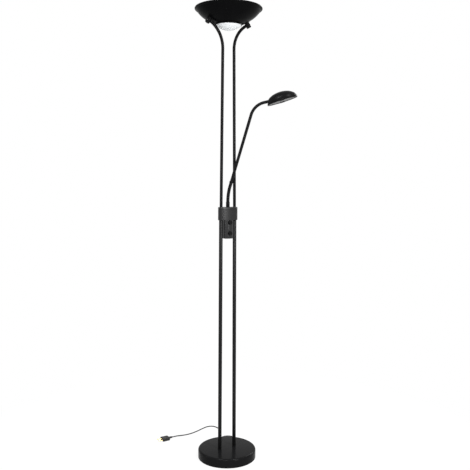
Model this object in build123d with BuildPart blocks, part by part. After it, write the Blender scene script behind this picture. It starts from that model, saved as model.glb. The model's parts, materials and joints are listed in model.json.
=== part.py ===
"""Torchiere floor lamp with a dimmed uplighter bowl and a reading light on a bent arm.

Millimetres. The origin is the middle of the base where it stands on the floor. +Z is up, the two
poles stand side by side along X, and the dimmer knobs face -Y.
"""

import os
from math import atan2, ceil, cos, degrees, pi, radians, sin, sqrt, tan

from build123d import *

os.makedirs("parts", exist_ok=True)

# ---------------------------------------------------------------- driving dimensions

# Clearances
loose = 0.1  # around screws, studs and poles in their holes
running = 0.05  # radial, between a shaft and the hole it turns in
face_gap = 0.3  # between faces that move past each other

# Base
base_radius = 118.0
base_height = 38.0
base_wall = 1.5
base_edge = 8.0
pad_thickness = 1.5
pad_radius = 112.0
plate_thickness = 2.0
weight_radius = 100.0
weight_thickness = 24.5
weight_pocket_radius = 14.0
weight_pocket_depth = 12.0
leg_radius = 7.0
leg_circle = 80.0
leg_count = 3
base_screw_radius = 2.0
base_screw_length = 12.0
base_screw_head_radius = 3.5
base_screw_head = 1.2

# Poles
lamp_height = 1800.0
lower_pole_radius = 7.5
lower_pole_wall = 1.2
lower_foot_x = 33.6  # half spacing where the lower poles stand on the base
lower_head_x = 31.1  # half spacing inside the coupler
upper_pole_radius = 6.0
upper_pole_wall = 1.0
upper_foot_x = 30.7  # half spacing inside the coupler
upper_bend_x = 25.2  # half spacing where the bends start
bend_drop = 156.5  # from the rim down to where the bends start
upper_bend_z = lamp_height - bend_drop
upper_bend_radius = 113.0
pole_end_run = 5.0  # straight tube between the bend and the knuckle

# Studs that hold the poles on the base
stud_radius = 5.0
stud_bore = 3.2
stud_plug_length = 20.0
stud_below = 2.5  # thread left under the nut
nut_across = 17.0
nut_height = 5.0
washer_radius = 10.0
washer_thickness = 1.5

# Collar
collar_bottom = 976.0
collar_height = 52.0
collar_end_room = 3.4  # from a lower pole out to the collar's end
collar_half_length = lower_head_x + lower_pole_radius + collar_end_room
collar_half_flat = 24.0
collar_end_depth = 17.2
collar_crown = 19.0
collar_wall = 2.0
collar_corner = 6.0
cap_height = 8.0
cap_edge = 2.5
seam = 0.6
coupler_lift = 8.0  # from the collar's underside to the coupler
coupler_gap = 0.3
coupler_web = 2.9  # left between a lower and an upper socket
socket_difference = 3.0  # the lower sockets are deeper
coupler_pocket_radius = 12.0
coupler_pocket_depth = 14.0
wire_hole_radius = 4.0
set_screw_radius = 2.5
set_screw_reach = 15.5  # from the pole plane back to the screw's outer end
set_screw_key = 1.3
set_screw_key_depth = 2.0
lower_screw_rise = 9.0  # above the coupler's underside
upper_screw_drop = 9.0  # below the coupler's top

# Dimmer housing
housing_half_width = 20.3
housing_back = 9.0
housing_corner_radius = 3.0
housing_corner = 10.4  # from the pole plane forward to the corners
housing_crown = 17.5  # from the pole plane forward to the middle of the front
housing_height = 74.0
housing_wall = 2.0
housing_edge = 4.0
housing_boss_x = 14.0
housing_boss_radius = 3.5
housing_boss_length = 10.0
housing_screw_radius = 2.0
housing_screw_length = 13.0
housing_head_radius = 3.5
housing_head = 2.4
cover_screw_length = 12.0
housing_wire_radius = 5.0
housing_wire_y = 2.0
cover_thickness = 2.0
cover_boss_radius = 4.0
upper_knob_drop = 9.0  # below the collar
knob_spacing = 43.0
knob_radius = 8.0
knob_length = 7.2
knob_gap = 0.4
knob_edge = 0.8
pointer_width = 1.4
pointer_depth = 0.5
shaft_radius = 3.0
pot_radius = 6.5
pot_length = 7.4
pot_seat = 1.0  # between the flat pot and the crown of the curved front
bush_radius = 4.5
board_half_width = 17.0
board_height = 54.0
board_thickness = 1.6
terminal_length = 24.0
terminal_height = 9.0
terminal_depth = 9.0
terminal_drop = 17.0
capacitor_width = 9.0
capacitor_height = 14.0
capacitor_depth = 8.0
choke_radius = 5.5
choke_depth = 7.0
part_offset = 10.0  # sideways from the boss to the choke and the capacitor
part_lift = 5.0

# Reading arm, drawn in its own upright plane
arm_azimuth = -35.0  # degrees from +X, seen from above
ferrule_radius = 7.6
ferrule_length = 20.0
ferrule_edge = 1.0
spigot_radius = 5.0
spigot_nut_radius = 8.0
spigot_nut_height = 4.0
spigot_tail = 3.0
spigot_bore = 3.5
neck_radius = 6.5
neck_bore = 4.0
neck_lean = 16.3
neck_arc_radius = 217.0
neck_foot = 2.0
neck_head = 12.5
ring_radius = 7.4
ring_length = 7.0
arm_radius = 6.0
arm_wall = 1.0
arm_straight = 271.0
arm_bend_radius = 68.5
arm_rise = 12.0  # degrees above level where the arm enters the head
arm_end_run = 28.0
arm_to_head = 15.6  # straight tube between the bend and the head's rear face

# Reading head
head_length = 121.5
head_width = 86.0
head_height = 38.0
head_overrun = 2.0  # of the dome's full ellipse behind the rear face
head_pitch = 17.0  # degrees that the underside slopes up towards the tip
head_wall = 1.6
head_rim_lift = 1.5
rear_cut_lean = 24.7  # degrees that the rear face leans forward
rear_cap_thickness = 5.0
head_seam = 0.4
arm_entry_height = 15.5  # above the underside
arm_entry_depth = 7.4  # forward of the rear lower corner
retainer_radius = 7.8
retainer_length = 4.0
arm_seat = 5.5  # from the rear face to the retainer's seat, along the tube
seat_boss = 1.4
bezel_width = 5.0
bezel_upstand = 4.0
bezel_upstand_inset = 0.8
bezel_upstand_wall = 1.2
opening_rear = 11.0  # straight rear edge of the opening
lens_lap = 3.0
lens_thickness = 2.5
lens_gap = 0.2
reflector_wall = 0.6
reflector_middle = 70.0
reflector_half_length = 44.0
reflector_half_width = 34.0
reflector_rise = 27.0
lens_clip_width = 18.0
lens_clip_reach = 10.0
lens_clip_thickness = 1.0
lens_clip_inset = 2.0
capsule_radius = 6.5
capsule_length = 34.0
capsule_holder_side = 14.0
capsule_holder_length = 16.0
capsule_start = 29.0
capsule_rise = 16.0
capsule_tip = 4.0

# Uplighter bowl
bowl_radius = 132.0
rim_bead = 4.0
bowl_wall = 1.2
opening_radius = 51.5
bowl_depth = 60.5  # from the rim down to the ledge round the opening
ledge_width = 6.5
opening_collar = 6.5
glass_radius = 49.8
glass_wall = 2.5
glass_drop = 19.0
glass_flange = 56.0
retaining_ring_width = 6.0
retaining_ring_thickness = 1.2
knuckle_radius = 9.5
knuckle_lean = 32.0  # degrees between the knuckle's axis and straight down
knuckle_above = 8.0  # from the pole's axis up to the bowl
knuckle_below = 13.0
knuckle_edge = 1.2
knuckle_core = 5.2  # from the knuckle's axis to the pole's end
nipple_radius = 4.8
nipple_bore = 3.3
nipple_seat = 4.0  # length of the nipple inside the knuckle
bowl_washer_radius = 8.0
bowl_washer_thickness = 0.8
bowl_washer_lift = 0.5  # the bowl is hollow under the flat washer
bowl_nut_across = 14.0
bowl_nut_height = 4.0
nipple_tail = 2.0  # thread left beyond the nut

# Lamp tray inside the bowl
tray_length = 152.0
tray_width = 54.0
tray_height = 24.0
tray_wall = 1.0
tray_drop = 42.5  # from the rim down to the tray's floor
tray_bottom = lamp_height - tray_drop
tray_window_length = 84.0
tray_window_width = 34.0
foot_width = 14.0
foot_thickness = 7.0
foot_x = 20.0
foot_y = 67.0
holder_length = 15.0
holder_width = 18.0
holder_height = 17.0
holder_grip = 6.0  # length of the lamp's end inside its holder
lamp_lift = 11.0  # from the tray's floor to the lamp's axis
tube_lamp_radius = 4.2
tube_lamp_length = 117.0
guard_thickness = 3.0
guard_overhang = 1.0
clip_width = 10.0
clip_thickness = 0.8
clip_reach = 5.0
clip_drop = 12.0
lead_radius = 2.0
lead_tail = 3.0  # length of the lamp's lead inside the nipple

# Cord, put away in a coil behind the base
cord_radius = 2.4
cord_exit_azimuth = 80.0
cord_exit_height = 7.5
relief_length = 22.0
relief_root_radius = 5.0
relief_tip_radius = 3.4
coil_centre = (79.5, 135.6)
coil_lift = 0.6  # room for the tie under the coil
coil_inner_radius = 16.0
coil_pitch = 5.3
coil_layer_turns = 11.0 / 3.0
coil_dip = 1.3
coil_start = 90.0  # degrees from +X, where the lead joins the coil
tie_width = 6.0
tie_thickness = 0.5
tie_gap = 0.35
tie_bow = 0.45  # the coil's inner turns bow into the flat tie
tie_angle = -30.0

# Plug
plug_relief_length = 16.0
plug_length = 34.0
plug_width = 33.0
plug_height = 13.6
plug_edge = 3.0
pin_radius = 2.0
pin_length = 19.0
pin_spacing = 18.6
pin_embed = 8.0


# ---------------------------------------------------------------- shared places


def between(x0, z0, x1, z1, z):
    """The X of a straight pole's axis at height z."""
    return x0 + (x1 - x0) * (z - z0) / (z1 - z0)


coupler_bottom = collar_bottom + coupler_lift
collar_top = collar_bottom + collar_height
cap_bottom = collar_top - cap_height
coupler_top = cap_bottom - loose
lower_socket = (coupler_top - coupler_bottom - coupler_web + socket_difference) / 2
upper_socket = lower_socket - socket_difference
lower_top = coupler_bottom + lower_socket - loose
upper_bottom = coupler_top - upper_socket + loose
plate_bottom = pad_thickness
plate_top = plate_bottom + plate_thickness
base_ceiling = base_height - base_wall
weight_bottom = base_ceiling - weight_thickness
pocket_top = weight_bottom + weight_pocket_depth
nut_top = pocket_top - washer_thickness
stud_bottom = nut_top - nut_height - stud_below


def pole_plane(foot_x, foot_z, head_x, head_z, z, side):
    """A plane at height z across a straight pole that leans from its foot to its head."""
    return Plane(
        origin=(side * between(foot_x, foot_z, head_x, head_z, z), 0, z),
        x_dir=(0, 1, 0),
        z_dir=(side * (head_x - foot_x), 0, head_z - foot_z),
    )


def lower_pole_plane(z, side):
    """A plane across a lower pole at height z."""
    return pole_plane(lower_foot_x, base_height, lower_head_x, lower_top, z, side)


def upper_pole_plane(z, side):
    """A plane across the straight part of an upper pole at height z."""
    return pole_plane(upper_foot_x, upper_bottom, upper_bend_x, upper_bend_z, z, side)


# ---------------------------------------------------------------- base

with BuildPart() as base_pad:
    with BuildSketch():
        Circle(pad_radius)
        with PolarLocations(leg_circle, leg_count):
            Circle(base_screw_head_radius + 1, mode=Mode.SUBTRACT)
    extrude(amount=pad_thickness)
base_pad.part.label = "base_pad"
export_step(base_pad.part, "parts/base_pad.step")

with BuildPart() as base_plate:
    with BuildSketch(Plane.XY.offset(plate_bottom)):
        Circle(base_radius - base_wall - face_gap)
        with PolarLocations(leg_circle, leg_count):
            Circle(base_screw_radius + loose, mode=Mode.SUBTRACT)
    extrude(amount=plate_thickness)
base_plate.part.label = "base_plate"
export_step(base_plate.part, "parts/base_plate.step")

with BuildPart() as base_weight:
    with BuildSketch(Plane.XY.offset(weight_bottom)):
        Circle(weight_radius)
    extrude(amount=weight_thickness)
    fillet(base_weight.edges().group_by(Axis.Z)[-1], base_edge / 2)
    with BuildSketch(Plane.XY.offset(plate_top)):
        with PolarLocations(leg_circle, leg_count):
            Circle(leg_radius)
    extrude(amount=weight_bottom - plate_top + 1)
    with BuildSketch(Plane.XY.offset(weight_bottom)):
        with Locations((lower_foot_x, 0), (-lower_foot_x, 0)):
            Circle(weight_pocket_radius)
    extrude(amount=weight_pocket_depth, mode=Mode.SUBTRACT)
    with BuildSketch(Plane.XY.offset(weight_bottom)):
        with Locations((lower_foot_x, 0), (-lower_foot_x, 0)):
            Circle(stud_radius + loose)
    extrude(amount=weight_thickness, mode=Mode.SUBTRACT)
    with BuildSketch(Plane.XY.offset(plate_top)):
        with PolarLocations(leg_circle, leg_count):
            Circle(base_screw_radius + loose)
    extrude(amount=base_screw_length, mode=Mode.SUBTRACT)
base_weight.part.label = "base_weight"
export_step(base_weight.part, "parts/base_weight.step")

relief_plane = Plane(
    origin=(
        base_radius * cos(radians(cord_exit_azimuth)),
        base_radius * sin(radians(cord_exit_azimuth)),
        cord_exit_height,
    ),
    x_dir=(0, 0, 1),
    z_dir=(cos(radians(cord_exit_azimuth)), sin(radians(cord_exit_azimuth)), 0),
)

with BuildPart() as base_cover:
    with BuildSketch(Plane.XY.offset(plate_bottom)):
        Circle(base_radius)
    extrude(amount=base_height - plate_bottom)
    fillet(base_cover.edges().group_by(Axis.Z)[-1], base_edge)
    with BuildSketch(Plane.XY.offset(plate_bottom)):
        Circle(base_radius - base_wall)
    extrude(amount=base_ceiling - base_edge - plate_bottom, mode=Mode.SUBTRACT)
    with BuildSketch(Plane.XY.offset(base_ceiling - base_edge)):
        Circle(base_radius - base_edge)
    extrude(amount=base_edge, mode=Mode.SUBTRACT)
    with BuildSketch(Plane.XY.offset(base_ceiling)):
        with Locations((lower_foot_x, 0), (-lower_foot_x, 0)):
            Circle(stud_radius + loose)
    extrude(amount=base_wall, mode=Mode.SUBTRACT)
    with BuildSketch(relief_plane.offset(-2 * base_wall)):
        Circle(relief_root_radius - 1 + loose)
    extrude(amount=3 * base_wall, mode=Mode.SUBTRACT)
base_cover.part.label = "base_cover"
export_step(base_cover.part, "parts/base_cover.step")

with BuildPart() as base_screws:
    with BuildSketch(Plane.XY.offset(plate_bottom - base_screw_head)):
        with PolarLocations(leg_circle, leg_count):
            Circle(base_screw_head_radius)
    extrude(amount=base_screw_head)
    with BuildSketch(Plane.XY.offset(plate_bottom)):
        with PolarLocations(leg_circle, leg_count):
            Circle(base_screw_radius)
    extrude(amount=base_screw_length)
base_screws.part.label = "base_screws"
export_step(base_screws.part, "parts/base_screws.step")

# ---------------------------------------------------------------- lower poles and their studs

lower_bore = lower_pole_radius - lower_pole_wall


def make_lower_pole(side):
    with BuildPart() as pole:
        with BuildSketch(lower_pole_plane(base_height - 1, side)):
            Circle(lower_pole_radius)
            Circle(lower_bore, mode=Mode.SUBTRACT)
        extrude(amount=lower_top - base_height + 1)
        split(bisect_by=Plane.XY.offset(base_height), keep=Keep.TOP)
    return pole


lower_pole_left = make_lower_pole(-1)
lower_pole_left.part.label = "lower_pole_left"
export_step(lower_pole_left.part, "parts/lower_pole_left.step")

lower_pole_right = make_lower_pole(1)
lower_pole_right.part.label = "lower_pole_right"
export_step(lower_pole_right.part, "parts/lower_pole_right.step")

with BuildPart() as pole_studs:
    with BuildSketch(Plane.XY.offset(stud_bottom)):
        with Locations((lower_foot_x, 0), (-lower_foot_x, 0)):
            Circle(stud_radius)
            Circle(stud_bore, mode=Mode.SUBTRACT)
    extrude(amount=base_height - stud_bottom)
    with BuildSketch(Plane.XY.offset(base_height)):
        with Locations((lower_foot_x, 0), (-lower_foot_x, 0)):
            Circle(lower_bore - loose)
            Circle(stud_bore, mode=Mode.SUBTRACT)
    extrude(amount=stud_plug_length)
pole_studs.part.label = "pole_studs"
export_step(pole_studs.part, "parts/pole_studs.step")

with BuildPart() as pole_washers:
    with BuildSketch(Plane.XY.offset(nut_top)):
        with Locations((lower_foot_x, 0), (-lower_foot_x, 0)):
            Circle(washer_radius)
            Circle(stud_radius + loose, mode=Mode.SUBTRACT)
    extrude(amount=washer_thickness)
pole_washers.part.label = "pole_washers"
export_step(pole_washers.part, "parts/pole_washers.step")

with BuildPart() as pole_nuts:
    with BuildSketch(Plane.XY.offset(nut_top - nut_height)):
        with Locations((lower_foot_x, 0), (-lower_foot_x, 0)):
            RegularPolygon(nut_across / 2, 6, major_radius=False)
            Circle(stud_radius + loose, mode=Mode.SUBTRACT)
    extrude(amount=nut_height)
pole_nuts.part.label = "pole_nuts"
export_step(pole_nuts.part, "parts/pole_nuts.step")

# ---------------------------------------------------------------- upper poles and knuckles

pole_tilt = degrees(atan2(upper_foot_x - upper_bend_x, upper_bend_z - upper_bottom))
end_heading = 90 - knuckle_lean  # the pole's last direction, from straight up
bend_centre = Vector(
    upper_bend_x + upper_bend_radius * cos(radians(pole_tilt)),
    0,
    upper_bend_z + upper_bend_radius * sin(radians(pole_tilt)),
)
along_end = Vector(sin(radians(end_heading)), 0, cos(radians(end_heading)))
bend_end = bend_centre + Vector(-cos(radians(end_heading)), 0, sin(radians(end_heading))) * upper_bend_radius
pole_end = bend_end + along_end * pole_end_run
knuckle_middle = pole_end + along_end * knuckle_core
knuckle_axis = Vector(sin(radians(knuckle_lean)), 0, -cos(radians(knuckle_lean)))
upper_bore = upper_pole_radius - upper_pole_wall


def on_pole_plane(v):
    """A point of the pole plane in that plane's own two coordinates."""
    return (v.X, v.Z)


with BuildPart() as upper_pole_right:
    with BuildLine(Plane.XZ) as pole_path:
        straight = Line((upper_foot_x, upper_bottom), (upper_bend_x, upper_bend_z))
        bend = JernArc(straight @ 1, straight % 1, upper_bend_radius, -(end_heading + pole_tilt))
        Line(bend @ 1, on_pole_plane(pole_end))
    with BuildSketch(Plane(origin=straight @ 0, z_dir=straight % 0)):
        Circle(upper_pole_radius)
        Circle(upper_bore, mode=Mode.SUBTRACT)
    sweep()
upper_pole_right.part.label = "upper_pole_right"
export_step(upper_pole_right.part, "parts/upper_pole_right.step")

with BuildPart() as upper_pole_left:
    mirror(upper_pole_right.part, about=Plane.YZ)
upper_pole_left.part.label = "upper_pole_left"
export_step(upper_pole_left.part, "parts/upper_pole_left.step")

# ---------------------------------------------------------------- uplighter bowl

rim_centre = (bowl_radius - rim_bead, lamp_height - rim_bead)
ledge_z = lamp_height - bowl_depth
wall_start = (opening_radius + ledge_width, ledge_z)
# Where the bowl's outside passes, as shares of the way from the ledge to the rim.
wall_shares = [(0.24, 0.152), (0.478, 0.34), (0.714, 0.566), (0.9, 0.822)]
wall_span = (rim_centre[0] - wall_start[0], rim_centre[1] - rim_bead / 2 - wall_start[1])
wall_outside = [wall_start]
wall_outside += [(wall_start[0] + a * wall_span[0], wall_start[1] + b * wall_span[1]) for a, b in wall_shares]
wall_outside += [(wall_start[0] + wall_span[0], wall_start[1] + wall_span[1])]


def shifted(points, distance):
    """The points moved to the left of the line through them."""
    moved = []
    for i, (x, z) in enumerate(points):
        before = points[max(i - 1, 0)]
        after = points[min(i + 1, len(points) - 1)]
        run = sqrt((after[0] - before[0]) ** 2 + (after[1] - before[1]) ** 2)
        moved.append(
            (x - distance * (after[1] - before[1]) / run, z + distance * (after[0] - before[0]) / run)
        )
    return moved


wall_inside = shifted(wall_outside, bowl_wall)
wall_inside[0] = (wall_start[0] - bowl_wall / 3, ledge_z + bowl_wall)
collar_low = ledge_z - opening_collar

with BuildPart() as bowl_envelope:
    with BuildSketch(Plane.XZ):
        with BuildLine():
            Spline(*wall_outside)
            Polyline(
                wall_outside[-1],
                (bowl_radius, lamp_height),
                (0, lamp_height),
                (0, ledge_z),
                wall_outside[0],
            )
        make_face()
    revolve(axis=Axis.Z)

bowl_outer_plane = Plane(
    origin=knuckle_middle, x_dir=(0, 1, 0), z_dir=knuckle_axis
)  # at the pole's axis, looking out of the bowl


def make_knuckle():
    with BuildPart() as knuckle:
        with BuildSketch(bowl_outer_plane.offset(-knuckle_above - 2)):
            Circle(knuckle_radius)
        extrude(amount=knuckle_above + 2 + knuckle_below)
        fillet(knuckle.edges().filter_by(GeomType.CIRCLE).sort_by(Axis.Z)[0], knuckle_edge)
        add(bowl_envelope.part, mode=Mode.SUBTRACT)
        with BuildSketch(Plane(origin=knuckle_middle - along_end * knuckle_core, z_dir=-along_end)):
            Circle(upper_pole_radius + loose)
        extrude(amount=knuckle_radius * 2, mode=Mode.SUBTRACT)
        with BuildSketch(Plane(origin=knuckle_middle, z_dir=-along_end)):
            Circle(nipple_bore)
        extrude(amount=knuckle_core + 1, mode=Mode.SUBTRACT)
        with BuildSketch(bowl_outer_plane.offset(-knuckle_above - 3)):
            Circle(nipple_radius + loose)
        extrude(amount=knuckle_above + 3, mode=Mode.SUBTRACT)
    return knuckle


knuckle_right = make_knuckle()
knuckle_right.part.label = "knuckle_right"
export_step(knuckle_right.part, "parts/knuckle_right.step")

with BuildPart() as knuckle_left:
    mirror(knuckle_right.part, about=Plane.YZ)
knuckle_left.part.label = "knuckle_left"
export_step(knuckle_left.part, "parts/knuckle_left.step")

with BuildPart() as nipple_hole:
    with BuildSketch(bowl_outer_plane.offset(-knuckle_above - 10)):
        Circle(nipple_radius + loose)
    extrude(amount=20)

with BuildPart() as bowl_shell:
    with BuildSketch(Plane.XZ):
        with BuildLine():
            Spline(*wall_outside)
            Line(wall_outside[-1], wall_inside[-1])
            Spline(*reversed(wall_inside))
            Polyline(
                wall_inside[0],
                (opening_radius - bowl_wall, ledge_z + bowl_wall),
                (opening_radius - bowl_wall, collar_low),
                (opening_radius, collar_low),
                (opening_radius, ledge_z),
                wall_outside[0],
            )
        make_face()
        with Locations(rim_centre):
            Circle(rim_bead)
    revolve(axis=Axis.Z)
    add(nipple_hole.part, mode=Mode.SUBTRACT)
    mirror(nipple_hole.part, about=Plane.YZ, mode=Mode.SUBTRACT)
bowl_shell.part.label = "bowl_shell"
export_step(bowl_shell.part, "parts/bowl_shell.step")

washer_seat = -(knuckle_above + bowl_wall + bowl_washer_lift)  # inside the bowl, along the knuckle's axis
bowl_nut_seat = washer_seat - bowl_washer_thickness
nipple_end = bowl_nut_seat - bowl_nut_height - nipple_tail

with BuildPart() as nipple_right:
    with BuildSketch(bowl_outer_plane.offset(-(knuckle_above - nipple_seat))):
        Circle(nipple_radius)
        Circle(nipple_bore, mode=Mode.SUBTRACT)
    extrude(amount=nipple_end + knuckle_above - nipple_seat)

with BuildPart() as nipples:
    add(nipple_right.part)
    mirror(nipple_right.part, about=Plane.YZ)
nipples.part.label = "nipples"
export_step(nipples.part, "parts/nipples.step")

with BuildPart() as bowl_washers:
    with BuildSketch(bowl_outer_plane.offset(washer_seat)):
        Circle(bowl_washer_radius)
        Circle(nipple_radius + loose, mode=Mode.SUBTRACT)
    extrude(amount=-bowl_washer_thickness)
    mirror(bowl_washers.part, about=Plane.YZ)
bowl_washers.part.label = "bowl_washers"
export_step(bowl_washers.part, "parts/bowl_washers.step")

with BuildPart() as bowl_nuts:
    with BuildSketch(bowl_outer_plane.offset(bowl_nut_seat)):
        RegularPolygon(bowl_nut_across / 2, 6, major_radius=False)
        Circle(nipple_radius + loose, mode=Mode.SUBTRACT)
    extrude(amount=-bowl_nut_height)
    mirror(bowl_nuts.part, about=Plane.YZ)
bowl_nuts.part.label = "bowl_nuts"
export_step(bowl_nuts.part, "parts/bowl_nuts.step")

# Frosted glass in the bottom opening, hanging by its flange
glass_seat = ledge_z + bowl_wall + loose
glass_spring = collar_low + glass_wall / 4
ball_radius = (glass_radius**2 + glass_drop**2) / (2 * glass_drop)
ball_z = glass_spring - glass_drop + ball_radius
half_open = atan2(glass_radius, ball_z - glass_spring) / 2
glass_bore = glass_radius - glass_wall
bore_spring = ball_z - sqrt((ball_radius - glass_wall) ** 2 - glass_bore**2)
bore_open = atan2(glass_bore, ball_z - bore_spring) / 2

with BuildPart() as glass_dome:
    with BuildSketch(Plane.XZ):
        with BuildLine():
            ThreePointArc(
                (0, ball_z - ball_radius),
                (ball_radius * sin(half_open), ball_z - ball_radius * cos(half_open)),
                (glass_radius, glass_spring),
            )
            Polyline(
                (glass_radius, glass_spring),
                (glass_radius, glass_seat),
                (glass_flange, glass_seat),
                (glass_flange, glass_seat + glass_wall),
                (glass_bore, glass_seat + glass_wall),
                (glass_bore, bore_spring),
            )
            ThreePointArc(
                (glass_bore, bore_spring),
                (
                    (ball_radius - glass_wall) * sin(bore_open),
                    ball_z - (ball_radius - glass_wall) * cos(bore_open),
                ),
                (0, ball_z - ball_radius + glass_wall),
            )
            Line((0, ball_z - ball_radius + glass_wall), (0, ball_z - ball_radius))
        make_face()
    revolve(axis=Axis.Z)
glass_dome.part.label = "glass_dome"
export_step(glass_dome.part, "parts/glass_dome.step")

ring_bottom = glass_seat + glass_wall + loose

with BuildPart() as glass_ring:
    with BuildSketch(Plane.XY.offset(ring_bottom)):
        Circle(glass_flange)
        Circle(glass_flange - retaining_ring_width, mode=Mode.SUBTRACT)
    extrude(amount=retaining_ring_thickness)
glass_ring.part.label = "glass_ring"
export_step(glass_ring.part, "parts/glass_ring.step")

# ---------------------------------------------------------------- lamp tray inside the bowl

tray_top = tray_bottom + tray_height
guard_top = tray_top + loose + guard_thickness
lamp_z = tray_bottom + tray_wall + lamp_lift
holder_y = tube_lamp_length / 2 - holder_grip + holder_length / 2

with BuildPart() as lamp_tray:
    with BuildSketch(Plane.XY.offset(tray_bottom)):
        RectangleRounded(tray_width, tray_length, 4)
    extrude(amount=tray_height)
    with BuildSketch(Plane.XY.offset(tray_bottom + tray_wall)):
        RectangleRounded(tray_width - 2 * tray_wall, tray_length - 2 * tray_wall, 4 - tray_wall)
    extrude(amount=tray_height, mode=Mode.SUBTRACT)
    with BuildSketch(Plane.XY.offset(tray_bottom)):
        RectangleRounded(tray_window_width, tray_window_length, 3)
    extrude(amount=tray_wall, mode=Mode.SUBTRACT)
lamp_tray.part.label = "lamp_tray"
export_step(lamp_tray.part, "parts/lamp_tray.step")

feet_profile = shifted(wall_outside, bowl_wall + loose)

with BuildPart() as bowl_hollow:
    with BuildSketch(Plane.XZ):
        with BuildLine():
            Spline(*feet_profile)
            Polyline(
                feet_profile[-1],
                (feet_profile[-1][0], lamp_height),
                (0, lamp_height),
                (0, ledge_z + bowl_wall + loose),
                feet_profile[0],
            )
        make_face()
    revolve(axis=Axis.Z)

# Four feet stand on the bowl's inside, each cut to the bowl's curve
with BuildPart() as tray_feet:
    with BuildSketch(Plane.XY.offset(tray_bottom)):
        with GridLocations(2 * foot_x, 2 * foot_y, 2, 2):
            Rectangle(foot_thickness, foot_width)
    extrude(amount=-(tray_bottom - ledge_z))
    add(bowl_hollow.part, mode=Mode.INTERSECT)
tray_feet.part.label = "tray_feet"
export_step(tray_feet.part, "parts/tray_feet.step")

with BuildPart() as lamp_holders:
    with BuildSketch(Plane.XY.offset(tray_bottom + tray_wall)):
        with Locations((0, holder_y), (0, -holder_y)):
            Rectangle(holder_width, holder_length)
    extrude(amount=holder_height)
    fillet(lamp_holders.edges().filter_by(Axis.Z), 2)
    with BuildSketch(Plane.XZ.offset(tube_lamp_length / 2 + loose)):
        with Locations((0, lamp_z)):
            Circle(tube_lamp_radius + face_gap)
    extrude(amount=-tube_lamp_length - 2 * loose, mode=Mode.SUBTRACT)
lamp_holders.part.label = "lamp_holders"
export_step(lamp_holders.part, "parts/lamp_holders.step")

with BuildPart() as tube_lamp:
    with BuildSketch(Plane.XZ.offset(tube_lamp_length / 2)):
        with Locations((0, lamp_z)):
            Circle(tube_lamp_radius)
    extrude(amount=-tube_lamp_length)
    fillet(tube_lamp.edges().filter_by(GeomType.CIRCLE), 1)
tube_lamp.part.label = "tube_lamp"
export_step(tube_lamp.part, "parts/tube_lamp.step")

with BuildPart() as guard_glass:
    with BuildSketch(Plane.XY.offset(tray_top + loose)):
        RectangleRounded(tray_width + 2 * guard_overhang, tray_length + 2 * guard_overhang, 5)
    extrude(amount=guard_thickness)
    fillet(guard_glass.edges().group_by(Axis.Z)[-1], 0.6)
guard_glass.part.label = "guard_glass"
export_step(guard_glass.part, "parts/guard_glass.step")

clip_inside = tray_width / 2 + guard_overhang + loose
clip_outside = clip_inside + clip_thickness
clip_foot = tray_top - clip_drop
clip_roof = guard_top + loose

# Spring clips that hold the guard glass down on the tray's long sides
with BuildPart() as guard_clips:
    with BuildSketch(Plane.XZ):
        with BuildLine():
            Polyline(
                (tray_width / 2, clip_foot),
                (clip_outside, clip_foot),
                (clip_outside, clip_roof + clip_thickness),
                (clip_inside - clip_reach, clip_roof + clip_thickness),
                (clip_inside - clip_reach, clip_roof),
                (clip_inside, clip_roof),
                (clip_inside, clip_foot + clip_thickness),
                (tray_width / 2, clip_foot + clip_thickness),
                close=True,
            )
        make_face()
    extrude(amount=clip_width / 2, both=True)
    mirror(guard_clips.part, about=Plane.YZ)
guard_clips.part.label = "guard_clips"
export_step(guard_clips.part, "parts/guard_clips.step")

left_nipple_end = Vector(-knuckle_middle.X, 0, knuckle_middle.Z) + nipple_end * Vector(
    -knuckle_axis.X, 0, knuckle_axis.Z
)
up_left_nipple = Vector(knuckle_axis.X, 0, -knuckle_axis.Z)

with BuildPart() as lamp_wires:
    with BuildLine() as wires_path:
        FilletPolyline(
            left_nipple_end - up_left_nipple * lead_tail,
            left_nipple_end + up_left_nipple * 12,
            left_nipple_end + Vector(22, -14, 10),
            Vector(-tray_width / 2 - loose - 14, -32, lamp_z),
            Vector(-tray_width / 2 - loose, -32, lamp_z),
            radius=(8, 14, 10),
        )
    with BuildSketch(Plane(origin=wires_path.line @ 0, z_dir=wires_path.line % 0)):
        Circle(lead_radius)
    sweep()
lamp_wires.part.label = "lamp_wires"
export_step(lamp_wires.part, "parts/lamp_wires.step")

# ---------------------------------------------------------------- collar


def collar_section(inset):
    """The collar's outline, drawn in on all sides by the inset."""
    flat = collar_half_flat
    side = collar_end_depth - inset
    with BuildSketch() as section:
        with BuildLine():
            ThreePointArc((-flat, -side), (0, inset - collar_crown), (flat, -side))
            ThreePointArc((flat, -side), (collar_half_length - inset, 0), (flat, side))
            ThreePointArc((flat, side), (0, collar_crown - inset), (-flat, side))
            ThreePointArc((-flat, side), (inset - collar_half_length, 0), (-flat, -side))
        make_face()
        fillet(section.vertices(), collar_corner - inset)
    return section.sketch


lower_screw_z = coupler_bottom + lower_screw_rise
upper_screw_z = coupler_top - upper_screw_drop
set_screws_at = [
    (between(lower_foot_x, base_height, lower_head_x, lower_top, lower_screw_z), lower_screw_z),
    (between(upper_foot_x, upper_bottom, upper_bend_x, upper_bend_z, upper_screw_z), upper_screw_z),
]
set_screws_at += [(-x, z) for x, z in set_screws_at]

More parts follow.
